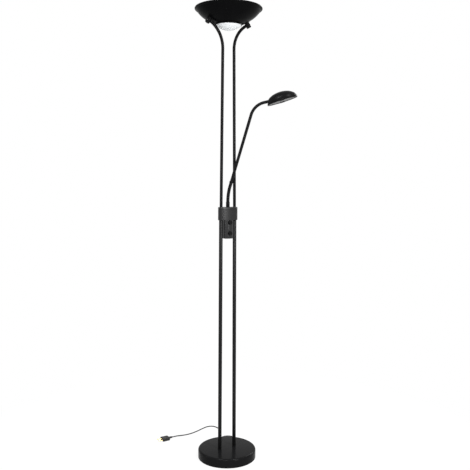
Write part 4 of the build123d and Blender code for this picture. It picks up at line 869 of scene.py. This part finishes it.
def plug_outline(wide, deep, z):
    """The plug's section in mm: an ellipse on its stem, a rounded oblong on its body."""
    power = 1.0 if wide < 5.5 else 0.32
    loop = []
    for k in range(64):
        a = 2 * pi * (k + 0.5) / 64
        x = wide * copysign(abs(cos(a)) ** power, cos(a))
        y = deep * copysign(abs(sin(a)) ** power, sin(a))
        loop.append(Vector((x * MM, y * MM, z * MM)))
    return loop


def plug_stations():
    """(half width, half depth, height) of the plug's sections in mm, from its stem on."""
    stations = [(3.4, 3.4, 0)]
    for k in range(5):
        z = 1.2 + 2.9 * k
        r = 3.4 + 1.6 * z / 16
        rib = ((0, 0), (0.12, 0.25), (0.2, 1.3), (-0.35, 1.45), (-0.3, 2.7))
        stations += [(r + out, r + out, z + up) for out, up in rib]
    stations += [(5, 5, 15.8), (6.2, 5.4, 16), (12.8, 6.0, 16.5), (15.1, 6.45, 18),
                 (16.2, 6.7, 20.5)]
    for k in range(6):
        z = 22.5 + 2.4 * k
        stations += [(16.1, 6.75, z), (15.8, 6.35, z + 0.4), (15.8, 6.35, z + 1.4),
                     (16.1, 6.75, z + 1.8)]
    return stations + [(16.4, 6.8, 38), (16.4, 6.8, 47.4), (15.9, 6.4, 49.0), (14.9, 5.4, 49.9),
                       (14.5, 5.0, 50)]


def relief_profile():
    """The strain relief's section: a ribbed cone with a bore, and a spigot into the base."""
    root, bore, spigot, tip = 0.0046, 0.0024, 0.004, RELIEF_LENGTH + 0.0002
    profile = [(root, 0)]
    for k in range(7):
        z = tip * k / 7
        r = 0.005 - 0.0016 * z / RELIEF_LENGTH
        profile += [(r, z), (r, z + 0.0018), (r - 0.0006, z + 0.0021), (r - 0.0006, z + 0.0028)]
    return profile + [(0.00345, 0.0219), (bore, tip), (bore, -0.003), (spigot, -0.003),
                      (spigot, 0), (root, 0)]


# ---------------------------------------------------------------- cords


def coil_point(turn):
    """A control point of the coil after this many turns, clockwise from above."""
    if turn <= COIL_LAYER:
        r, rise = COIL_INNER + COIL_PITCH * (COIL_LAYER - turn), 0
    elif turn <= COIL_LAYER + 0.5:
        u = 2 * (turn - COIL_LAYER)
        r = COIL_INNER - 0.0013 * sin(pi * u) ** 2
        rise = COIL_PITCH * (3 * u**2 - 2 * u**3)
    else:
        r, rise = COIL_INNER + COIL_PITCH * (turn - COIL_LAYER - 0.5), COIL_PITCH
    a = radians(90 - 360 * turn)
    out = Vector((cos(a), sin(a), 0)) * (r / COIL_SHRINK)
    return COIL_CENTRE + out + Vector((0, 0, COIL_LOW + rise))


def cord_route():
    """The free cord's control points: lead, coil and tail."""
    lead = [relief_tip, relief_tip + relief_out * 0.010, *(Vector(p) * MM for p in LEAD_MM)]
    turns = 2 * COIL_LAYER + 0.5
    coil = [coil_point(turns * (k + 0.25) / COIL_POINTS) for k in range(COIL_POINTS)]
    return lead, coil, [Vector(p) * MM for p in TAIL_MM]


def soft_line(name, points, radius, node_names, body, slot):
    """A cord: one smooth spline with these control points, and a round section."""
    start_clean()
    line = bpy.data.curves.new(name, "CURVE")
    line.dimensions = "3D"
    spline = line.splines.new("NURBS")
    spline.points.add(len(points) - 1)
    for point, place in zip(spline.points, points):
        point.co = (*place, 1)
    spline.order_u = 3
    spline.use_endpoint_u = True
    spline.resolution_u = 8
    line.bevel_depth = radius
    line.bevel_resolution = 4
    line.use_fill_caps = True
    line.materials.append(finish(slot))
    cord = bpy.data.objects.new(name, line)
    bpy.context.scene.collection.objects.link(cord)
    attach(cord, body)
    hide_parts(*node_names)
    return cord


# ---------------------------------------------------------------- what a user may change


class LampSizes(PropertyGroup):
    """The sizes of the modelled pieces, in metres."""

    base_radius: FloatProperty(
        name="Base radius", description="Radius of the round base",
        default=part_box("base_cover")[1].x, unit="LENGTH")
    base_edge: FloatProperty(
        name="Base edge", description="Rounding of the base's top edge", default=0.008,
        unit="LENGTH")
    rim_bead: FloatProperty(
        name="Rim bead", description="Radius of the bead round the bowl's rim", default=0.004,
        unit="LENGTH")
    bowl_wall: FloatProperty(
        name="Bowl wall", description="Thickness of the bowl's sheet", default=0.0012,
        unit="LENGTH")
    lower_pole_radius: FloatProperty(
        name="Lower pole radius", description="Radius of the two poles under the collar",
        default=LOWER_POLE_RADIUS, unit="LENGTH")
    upper_pole_radius: FloatProperty(
        name="Upper pole radius", description="Radius of the two poles over the collar",
        default=UPPER_POLE_RADIUS, unit="LENGTH")
    knob_radius: FloatProperty(
        name="Knob radius", description="Radius of the two dimmer knobs", default=0.008,
        unit="LENGTH")
    knob_flutes: IntProperty(
        name="Knob flutes", description="Number of grip flutes round a knob", default=24,
        min=8, max=48)
    arm_radius: FloatProperty(
        name="Arm radius", description="Radius of the reading arm's tube", default=0.006,
        unit="LENGTH")
    head_wall: FloatProperty(
        name="Head wall", description="Wall of the reading head's shell", default=0.0016,
        unit="LENGTH")
    round_sides: IntProperty(
        name="Round sides", description="Number of sides round the bowl and the base",
        default=144, min=48, max=256)


class LampColours(PropertyGroup):
    """The colours of the finishes."""

    frame_coat: FloatVectorProperty(
        name="Frame coat", description="Satin black of the base, upper poles and arm",
        subtype="COLOR", size=4, default=(0.005, 0.005, 0.0053, 1))
    lower_coat: FloatVectorProperty(
        name="Lower pole coat", description="Satin black of the two lower poles",
        subtype="COLOR", size=4, default=(0.004, 0.004, 0.0042, 1))
    bowl_coat: FloatVectorProperty(
        name="Bowl coat", description="Black of the bowl's sheet",
        subtype="COLOR", size=4, default=(0.0022, 0.0022, 0.0024, 1))
    collar_coat: FloatVectorProperty(
        name="Collar coat", description="Dark grey of the collar",
        subtype="COLOR", size=4, default=(0.006, 0.006, 0.0063, 1))
    housing: FloatVectorProperty(
        name="Control housing", description="Dark grey plastic of the control housing",
        subtype="COLOR", size=4, default=(0.006, 0.006, 0.0063, 1))
    knob: FloatVectorProperty(
        name="Knobs", description="Black plastic of the knobs",
        subtype="COLOR", size=4, default=(0.002, 0.002, 0.0021, 1))
    head: FloatVectorProperty(
        name="Reading head", description="Black plastic of the reading head",
        subtype="COLOR", size=4, default=(0.0035, 0.0035, 0.0038, 1))
    frosted: FloatVectorProperty(
        name="Frosted glass", description="Milky glass of the bowl's window",
        subtype="COLOR", size=4, default=(0.62, 0.64, 0.65, 1))
    lens: FloatVectorProperty(
        name="Head lens", description="Smoky frosted glass under the reading head",
        subtype="COLOR", size=4, default=(0.06, 0.06, 0.06, 1))
    cord: FloatVectorProperty(
        name="Cord", description="Black jacket of the supply cord",
        subtype="COLOR", size=4, default=(0.012, 0.012, 0.012, 1))


# ---------------------------------------------------------------- operators, one for each group


class LAMP_OT_cord(Operator):
    """Lays the supply cord with its coil, tie and plug, and its lead inside the base"""

    bl_idname = "lamp.cord"
    bl_label = "Cord and leads"

    def execute(self, context):
        lead, coil, tail = cord_route()
        cord = soft_line("supply_cord", lead + coil + tail, CORD_RADIUS,
                         ["cord_lead", "cord_coil", "cord_tail"], "stand", "cord_plastic")
        inner = relief_root - relief_out * 0.003
        pole_x = -LOWER_POLE_FOOT[0]
        soft_line("inner_lead", [inner, inner - relief_out * 0.030, (pole_x, 0, RELIEF_HEIGHT),
                                 (pole_x, 0, BASE_HEIGHT + 0.020)],
                  CORD_RADIUS, ["supply_lead"], "stand", "cord_plastic")

        heading = (tail[-1] - tail[-2]).normalized()
        plug_frame = frame_matrix(tail[-1], Vector((-heading.y, heading.x, 0)), heading)
        loops = [plug_outline(*station) for station in plug_stations()]
        plug = finished(skinned("plug", loops), ["plug_body"], "stand", "cord_plastic",
                        plug_frame, 45)
        pins = []
        sleeve, bare, root, shoulder, tip = 0.002, 0.00192, 0.0425, 0.059, 0.069
        profile = [(0, root), (sleeve, root), (sleeve, shoulder), (bare, shoulder + 0.0002),
                   (bare, tip), (0, tip)]
        profile = rounded(profile, {4: 0.0009})
        for side in (-1, 1):
            pin = turned("plug_pin", profile, 32)
            pin.location.x = side * 0.0093
            pins.append(pin)
        pins = finished(joined(pins, "plug_contacts"), ["plug_pins"], "stand", "brass",
                        plug_frame)

        radial = Vector((cos(TIE_ANGLE), sin(TIE_ANGLE), 0))
        along = Vector((sin(TIE_ANGLE), -cos(TIE_ANGLE), 0))
        half, outer, inside = 0.003, tie_outline(0.0005), tie_outline(0)
        loops = [raised(outer, -half), raised(outer, half), raised(inside, half),
                 raised(inside, -half), raised(outer, -half)]
        tie = finished(skinned("coil_tie", loops, capped=False, closed=True), ["cord_tie"],
                       "stand", "cord_plastic", frame_matrix(COIL_CENTRE, radial, along))

        return {"FINISHED"}


class LAMP_OT_base(Operator):
    """Turns the base cover over its plate, weight and pad, and the cord's strain relief"""

    bl_idname = "lamp.base"
    bl_label = "Base"

    def execute(self, context):
        s = context.scene.lamp_sizes
        r, wall, top = s.base_radius, BASE_WALL, BASE_HEIGHT
        profile = [(0, top), (r, top), (r, wall), (r - wall, wall), (r - wall, top - wall),
                   (0, top - wall)]
        profile = rounded(profile, {1: s.base_edge, 2: 0.0004, 4: s.base_edge - wall}, 8)
        finished(turned("base_shell", profile, s.round_sides), ["base_cover"], "stand",
                 "black_metal")
        finished(turned("cord_relief", relief_profile(), 40, closed=True), ["strain_relief"],
                 "stand", "cord_plastic", frame_matrix(relief_root, UP, relief_out))
        return {"FINISHED"}


class LAMP_OT_poles(Operator):
    """Draws the two lower poles and the two upper poles with their bends"""

    bl_idname = "lamp.poles"
    bl_label = "Poles"

    def execute(self, context):
        s = context.scene.lamp_sizes
        across = -FORWARD
        (foot_x, foot_z), (knee_x, knee_z) = UPPER_POLE_FOOT, UPPER_POLE_KNEE
        tilt = atan2(foot_x - knee_x, knee_z - foot_z)
        for side, word in SIDES:
            foot, head = (Vector((side * x, 0, z)) for x, z in (LOWER_POLE_FOOT, LOWER_POLE_HEAD))
            pole = tube(f"pole_lower_{word}", s.lower_pole_radius,
                        [("run", (head - foot).length)], foot, head - foot, across, 48)
            edge_softened(pole, 0.0004)
            finished(pole, [f"lower_pole_{word}"], "stand", "black_metal",
                     look="lower_pole_metal")

            foot, knee = (Vector((side * x, 0, z)) for x, z in (UPPER_POLE_FOOT, UPPER_POLE_KNEE))
            flare = ("bend", POLE_BEND, tilt + POLE_FLARE, Vector((0, side, 0)), 28)
            pole = tube(f"pole_upper_{word}", s.upper_pole_radius,
                        [("run", (knee - foot).length), flare, ("run", POLE_END_RUN)],
                        foot, knee - foot, across, 48)
            finished(pole, [f"upper_pole_{word}"], "stand", "black_metal")
        return {"FINISHED"}


class LAMP_OT_bowl(Operator):
    """Spins the bowl, its glass window and the two knuckles that carry it"""

    bl_idname = "lamp.bowl"
    bl_label = "Uplighter bowl"

    def execute(self, context):
        s = context.scene.lamp_sizes
        wall, neck = s.bowl_wall, BOWL_NECK_RADIUS
        outside = curve_line(BOWL_LINE, 6)
        inside = drawn_in(outside, wall)
        centre = Vector((BEAD_RADIUS_AT, RIM_HEIGHT - s.rim_bead))
        start, sweep, steps = radians(-62), radians(262), 18
        bead = []
        for k in range(steps + 1):
            a = start + sweep * k / steps
            bead.append(tuple(centre + Vector((cos(a), sin(a))) * s.rim_bead))
        profile = [(neck, BOWL_NECK_BOTTOM), (neck, LEDGE_HEIGHT), *outside[:-2], *bead,
                   *reversed(inside[:-2]), (neck - wall, LEDGE_HEIGHT + wall),
                   (neck - wall, BOWL_NECK_BOTTOM), (neck, BOWL_NECK_BOTTOM)]
        finished(turned("bowl", profile, s.round_sides, closed=True), ["bowl_shell"], "stand",
                 "bowl_metal", smooth=40)

        ball, middle, glass = WINDOW_BALL, WINDOW_BOTTOM + WINDOW_BALL, 0.0025
        foot, flange, flange_bottom, flange_top = 0.0498, 0.056, 1.7408, 1.7433
        under, over = radians(41.77), radians(40.6)
        profile = [*ball_line(ball, middle, under), (foot, flange_bottom),
                   (flange, flange_bottom), (flange, flange_top), (foot - glass, flange_top),
                   *reversed(ball_line(ball - glass, middle, over))]
        finished(turned("window_glass", profile, 96), ["glass_dome"], "stand", "frosted_glass")

        r, inner, outer = 0.0095, -0.0083, 0.013
        profile = rounded([(0, inner), (r, inner), (r, outer), (0, outer)], {2: 0.0014}, 5)
        for side, word in SIDES:
            place, out = knuckle_frame(side)
            finished(turned(f"bowl_knuckle_{word}", profile, 48), [f"knuckle_{word}"], "stand",
                     "black_metal", frame_matrix(place, -FORWARD, out))
        return {"FINISHED"}


class LAMP_OT_collar(Operator):
    """Draws the collar that joins the poles, with a groove between it and its cap"""

    bl_idname = "lamp.collar"
    bl_label = "Collar"

    def execute(self, context):
        seam, groove, edge = COLLAR_SEAM, COLLAR_GROOVE, 0.0025
        loops = stacked(collar_outline, [
            (seam, COLLAR_BOTTOM), (0, COLLAR_BOTTOM + seam), (0, CAP_BOTTOM - seam),
            (seam, CAP_BOTTOM - seam / 2), (groove, CAP_BOTTOM - seam / 4), (groove, CAP_BOTTOM)])
        finished(skinned("collar", loops), ["collar_body"], "stand", "collar_metal", smooth=30)
        loops = stacked(collar_outline, [
            (groove, CAP_BOTTOM), (groove, CAP_BOTTOM + seam / 4), (seam, CAP_BOTTOM + seam / 2),
            (0, CAP_BOTTOM + seam),
            *((edge * (1 - c), COLLAR_TOP - edge * (1 - t)) for t, c in quarter(6))])
        finished(skinned("collar_lid", loops), ["collar_cap"], "stand", "collar_metal", smooth=30)
        return {"FINISHED"}


class LAMP_OT_housing(Operator):
    """Draws the control housing under the collar"""

    bl_idname = "lamp.housing"
    bl_label = "Control housing"

    def execute(self, context):
        edge, top_edge = 0.004, 0.0003
        loops = stacked(housing_outline, [
            *((edge * (1 - t), HOUSING_BOTTOM + edge * (1 - c)) for t, c in quarter(7)),
            (0, COLLAR_BOTTOM - top_edge), (top_edge, COLLAR_BOTTOM)])
        finished(skinned("control_box", loops), ["dimmer_housing"], "stand", "housing_plastic",
                 smooth=30)
        return {"FINISHED"}


class LAMP_OT_knobs(Operator):
    """Turns the two dimmer knobs, with grip flutes and a pointer groove"""

    bl_idname = "lamp.knobs"
    bl_label = "Dimmer knobs"

    def execute(self, context):
        s = context.scene.lamp_sizes
        r, deep, dish = s.knob_radius, 0.0072, 0.0003
        rim = r - 0.0017
        flute_margin, flute_depth = 0.00008, 0.0003
        pointer_middle, pointer_size = 0.0048, (0.0014, 0.0064, 0.0014)
        profile = rounded([(0, 0), (r, 0), (r, deep), (rim, deep), (rim - 0.0004, deep - dish),
                           (0, deep - dish)], {1: 0.0004, 2: 0.0008})

        def in_flute(co, normal):
            """Whether a face of the side lies in one of the flutes."""
            turn = (atan2(co.y, co.x) / (2 * pi) * s.knob_flutes) % 1
            return abs(normal.z) < 0.2 and co.xy.length > r * 0.97 and turn > 0.5

        for name, height in KNOB_HEIGHTS.items():
            knob = turned(f"{name}_cap", profile, s.knob_flutes * 4)
            bpy.ops.object.mode_set(mode="EDIT")
            cleaned()
            choose(knob, "polygons", in_flute)
            bpy.ops.mesh.inset(thickness=flute_margin, depth=-flute_depth)
            start_clean()
            bpy.ops.mesh.primitive_cube_add(size=1, location=(0, pointer_middle, deep))
            cutter = named("pointer")
            cutter.scale = pointer_size
            bpy.ops.object.transform_apply(location=True, rotation=True, scale=True)
            pick(knob)
            cut = knob.modifiers.new("pointer", "BOOLEAN")
            cut.operation, cut.object, cut.solver = "DIFFERENCE", cutter, "EXACT"
            bpy.ops.object.modifier_apply(modifier=cut.name)
            bpy.data.objects.remove(cutter)
            where = frame_matrix(Vector((0, KNOB_FACE, height)), Vector((1, 0, 0)), FORWARD)
            finished(knob, [name], name, "knob_plastic", where, smooth=28)
        return {"FINISHED"}


class LAMP_OT_arm(Operator):
    """Draws the ferrule, the flexible neck, the bent reading arm and its ring"""

    bl_idname = "lamp.arm"
    bl_label = "Reading arm"

    def execute(self, context):
        s = context.scene.lamp_sizes
        ferrule = 0.0076
        profile = rounded([(0, FERRULE_BOTTOM), (ferrule, FERRULE_BOTTOM), (ferrule, FERRULE_TOP),
                           (0, FERRULE_TOP)], {1: 0.0004, 2: 0.001})
        finished(turned("ferrule", profile, 48), ["arm_ferrule"], "arm_socket", "black_metal")

        foot = Vector((0, 0, FERRULE_TOP))
        bend = ("bend", NECK_ARC, NECK_LEAN, ARM_ACROSS, 16)
        neck = tube("flexible_neck", NECK_RADIUS, [("run", NECK_FOOT), bend, ("run", NECK_HEAD)],
                    foot, UP, ARM_ACROSS, 40)
        finished(neck, ["gooseneck"], None, "black_metal")
        tuple(arm_point(*neck_top))
        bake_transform(neck)

        lean = arm_direction(pi / 2 - NECK_LEAN)
        start = arm_point(*neck_top)
        bend = ("bend", ARM_BEND, pi / 2 - ARM_RISE - NECK_LEAN, ARM_ACROSS, 24)
        arm = tube("arm_pipe", s.arm_radius, [("run", ARM_STRAIGHT), bend, ("run", ARM_END_RUN)],
                   start, lean, ARM_ACROSS, 48)
        finished(arm, ["arm_tube"], "arm", "black_metal")

        inner, outer, long = s.arm_radius - 0.0005, s.arm_radius + 0.0014, 0.007
        profile = rounded([(inner, 0), (outer, 0), (outer, long), (inner, long), (inner, 0)],
                          {1: 0.0005, 2: 0.0005})
        finished(turned("arm_ring", profile, 48, closed=True), ["arm_rings"], "arm",
                 "black_metal", frame_matrix(start, ARM_ACROSS, lean))
        return {"FINISHED"}


class LAMP_OT_head(Operator):
    """Shapes the reading head: its domed shell, rear cap, bezel and lens"""

    bl_idname = "lamp.head"
    bl_label = "Reading head"

    def execute(self, context):
        s = context.scene.lamp_sizes
        to_front = Vector((cos(REAR_LEAN), 0, -sin(REAR_LEAN)))
        cap_length, shell_start = 0.005, 0.0054
        for name, node, capped in (("head_dome", "head_shell", False),
                                   ("head_end", "head_cap", True)):
            start_clean()
            bpy.ops.mesh.primitive_uv_sphere_add(segments=128, ring_count=64, radius=1,
                                                 location=(DOME_MIDDLE, 0, RIM_LIFT))
            dome = named(name)
            dome.scale = (DOME_LENGTH, DOME_WIDTH, DOME_RISE)
            bpy.ops.object.transform_apply(location=True, rotation=True, scale=True)
            bpy.ops.object.mode_set(mode="EDIT")
            cut_away((0, 0, RIM_LIFT), -UP)
            cut_away(to_front * (0 if capped else shell_start), -to_front, fill=capped)
            if capped:
                cut_away(to_front * cap_length, to_front, fill=True)
            bpy.ops.object.mode_set(mode="OBJECT")
            if capped:
                edge_softened(dome, 0.0005)
            else:
                wall = dome.modifiers.new("wall", "SOLIDIFY")
                wall.thickness, wall.offset = s.head_wall, -1
                bpy.ops.object.modifier_apply(modifier=wall.name)
            finished(dome, [node], "head", "head_plastic", head_frame, smooth=40)

        bevel, bevel_top, clearance = 0.0006, 0.0004, 0.0006

        def outer(inset, z):
            """The bezel's outer edge, drawn in by the inset."""
            return head_outline(DOME_LENGTH - inset, DOME_WIDTH - inset, z, clearance + inset)

        def inner(grow, z):
            """The bezel's inner edge, drawn out by this much."""
            length, width, rear = OPENING
            return head_outline(length + grow, width + grow, z, rear - grow)

        loops = [outer(bevel, 0), outer(0.0001, bevel_top), outer(0, BEZEL_DEPTH),
                 inner(0, BEZEL_DEPTH), inner(0, bevel_top), inner(0.0005, 0), outer(bevel, 0)]
        finished(skinned("head_rim", loops, capped=False, closed=True), ["head_bezel"], "head",
                 "bezel_plastic", head_frame, smooth=40)
        length, width, rear = LENS
        loops = [head_outline(length, width, z, rear) for z in LENS_FACES]
        finished(skinned("head_window", loops), ["head_lens"], "head", "frosted_glass",
                 head_frame, look="lens_glass")
        return {"FINISHED"}


class LAMP_OT_inside(Operator):
    """Lays the lamp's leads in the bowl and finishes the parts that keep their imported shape"""

    bl_idname = "lamp.inside"
    bl_label = "Inner parts"

    def execute(self, context):
        place, out = knuckle_frame(-1)
        nipple = place - out * 0.0165
        soft_line("lamp_leads", [nipple + out * 0.003, nipple - out * 0.012,
                                 nipple + Vector((0.022, -0.014, 0.010)),
                                 (-0.0411, -0.032, 1.7695), (-0.0271, -0.032, 1.7695)],
                  0.002, ["lamp_wires"], "stand", "wire_plastic")
        slots = {part["node"]: part["material_slot"] for part in frame["record"]["subparts"]}
        for name, node in frame["nodes"].items():
            if name in slots and not node.hide_render:
                for held in node.material_slots:
                    held.material = finish(slots[name])
        return {"FINISHED"}


class LAMP_OT_stage(Operator):
    """Sets the white floor, the studio light and the camera"""

    bl_idname = "lamp.stage"
    bl_label = "Stage, light and camera"

    def execute(self, context):
        context.scene.view_settings.view_transform = "Standard"
        self.floor()
        self.world(context.scene)
        self.lamps(context.scene)
        self.camera(context.scene)
        return {"FINISHED"}

    def floor(self):
        """A floor that is white to the eye, a little darker near the lamp, and takes its shadow."""
        f = new_finish("stage_white")
        x, y = (Amount(f, f.node("ShaderNodeSeparateXYZ", None, {0: f.place()}, axis))
                for axis in "XY")
        near, fade, whiteness = 0.3, 1.1, 0.88
        away = ((x * x + y * y) ** 0.5 - near) * fade
        white = (away.clamped() * (1 - whiteness) + whiteness).clamped()
        matt = f.node("ShaderNodeBsdfDiffuse", None, {"Color": (0.8, 0.8, 0.8)})
        glow = f.node("ShaderNodeEmission", None, {"Color": (1, 1, 1), "Strength": 1.0})
        mix = f.node("ShaderNodeMixShader", None, {0: seen_rays(f) * white, 1: matt, 2: glow})
        f.node("ShaderNodeOutputMaterial", None, {"Surface": mix})
        start_clean()
        bpy.ops.mesh.primitive_circle_add(vertices=96, radius=14, fill_type="TRIFAN",
                                          location=(0, 0, 0))
        floor = named("studio_floor")
        floor.data.materials.append(f.owner)

    def world(self, scene):
        """Soft light from all round, seen as plain white."""
        scene.world = bpy.data.worlds.new("studio")
        w = Finish(scene.world)
        soft = w.node("ShaderNodeBackground", None, {"Color": (1, 1, 1), "Strength": 0.45})
        plain = w.node("ShaderNodeBackground", None, {"Color": (1, 1, 1), "Strength": 1.0})
        mix = w.node("ShaderNodeMixShader", None, {0: seen_rays(w), 1: soft, 2: plain})
        w.node("ShaderNodeOutputWorld", None, {"Surface": mix})

    def lamps(self, scene):
        """The studio lamps."""
        for name, (place, aim, size, power) in LAMPS.items():
            lamp = bpy.data.lights.new(name, "AREA")
            lamp.shape, lamp.size, lamp.size_y, lamp.energy = "RECTANGLE", *size, power
            holder = bpy.data.objects.new(name, lamp)
            holder.location = place
            heading = Vector(aim) - Vector(place)
            holder.rotation_euler = heading.to_track_quat("-Z", "Y").to_euler()
            scene.collection.objects.link(holder)

    def camera(self, scene):
        """The camera at the photograph's viewing angle."""
        lens = bpy.data.cameras.new("photo_camera")
        lens.sensor_width = SENSOR_WIDTH
        lens.lens = SENSOR_WIDTH * FOCAL_PIXELS / PICTURE_SIDE
        lens.clip_end = 100
        camera = bpy.data.objects.new("photo_camera", lens)
        pitch, yaw = CAMERA_PITCH, CAMERA_YAW
        ahead = Vector((sin(yaw) * cos(pitch), cos(yaw) * cos(pitch), -sin(pitch)))
        turn = ahead.to_track_quat("-Z", "Y").to_matrix().to_4x4()
        camera.location = CAMERA_PLACE
        camera.rotation_euler = (turn @ Matrix.Rotation(CAMERA_ROLL, 4, "Z")).to_euler()
        scene.collection.objects.link(camera)
        scene.camera = camera


# ---------------------------------------------------------------- the sidebar, and the run

PIECES = (LAMP_OT_stage, LAMP_OT_cord, LAMP_OT_base, LAMP_OT_poles, LAMP_OT_bowl, LAMP_OT_collar,
          LAMP_OT_housing, LAMP_OT_knobs, LAMP_OT_arm, LAMP_OT_head, LAMP_OT_inside)


class LAMP_PT_panel(Panel):
    """Lists the lamp's pieces, its sizes and its colours"""

    bl_idname = "LAMP_PT_panel"
    bl_label = "Lamp"
    bl_space_type = "VIEW_3D"
    bl_region_type = "UI"
    bl_category = "Lamp"

    def draw(self, context):
        layout = self.layout
        for piece in PIECES:
            layout.operator(piece.bl_idname)
        for group in (context.scene.lamp_sizes, context.scene.lamp_colours):
            for name in group.__annotations__:
                layout.prop(group, name)


CLASSES = (LampSizes, LampColours, *PIECES, LAMP_PT_panel)


def register():
    """Adds the classes, and the sizes and colours, to the scene."""
    for each in CLASSES:
        bpy.utils.register_class(each)
    bpy.types.Scene.lamp_sizes = PointerProperty(type=LampSizes)
    bpy.types.Scene.lamp_colours = PointerProperty(type=LampColours)


def unregister():
    """Takes them away again."""
    del bpy.types.Scene.lamp_colours
    del bpy.types.Scene.lamp_sizes
    for each in reversed(CLASSES):
        bpy.utils.unregister_class(each)


def main():
    """Builds the whole scene."""
    register()
    bpy.ops.lamp.stage()
    bpy.ops.lamp.cord()
    bpy.ops.lamp.base()
    bpy.ops.lamp.poles()
    bpy.ops.lamp.bowl()
    bpy.ops.lamp.collar()
    bpy.ops.lamp.housing()
    bpy.ops.lamp.knobs()
    bpy.ops.lamp.arm()
    bpy.ops.lamp.head()
    bpy.ops.lamp.inside()


if __name__ == "__main__":
    main()
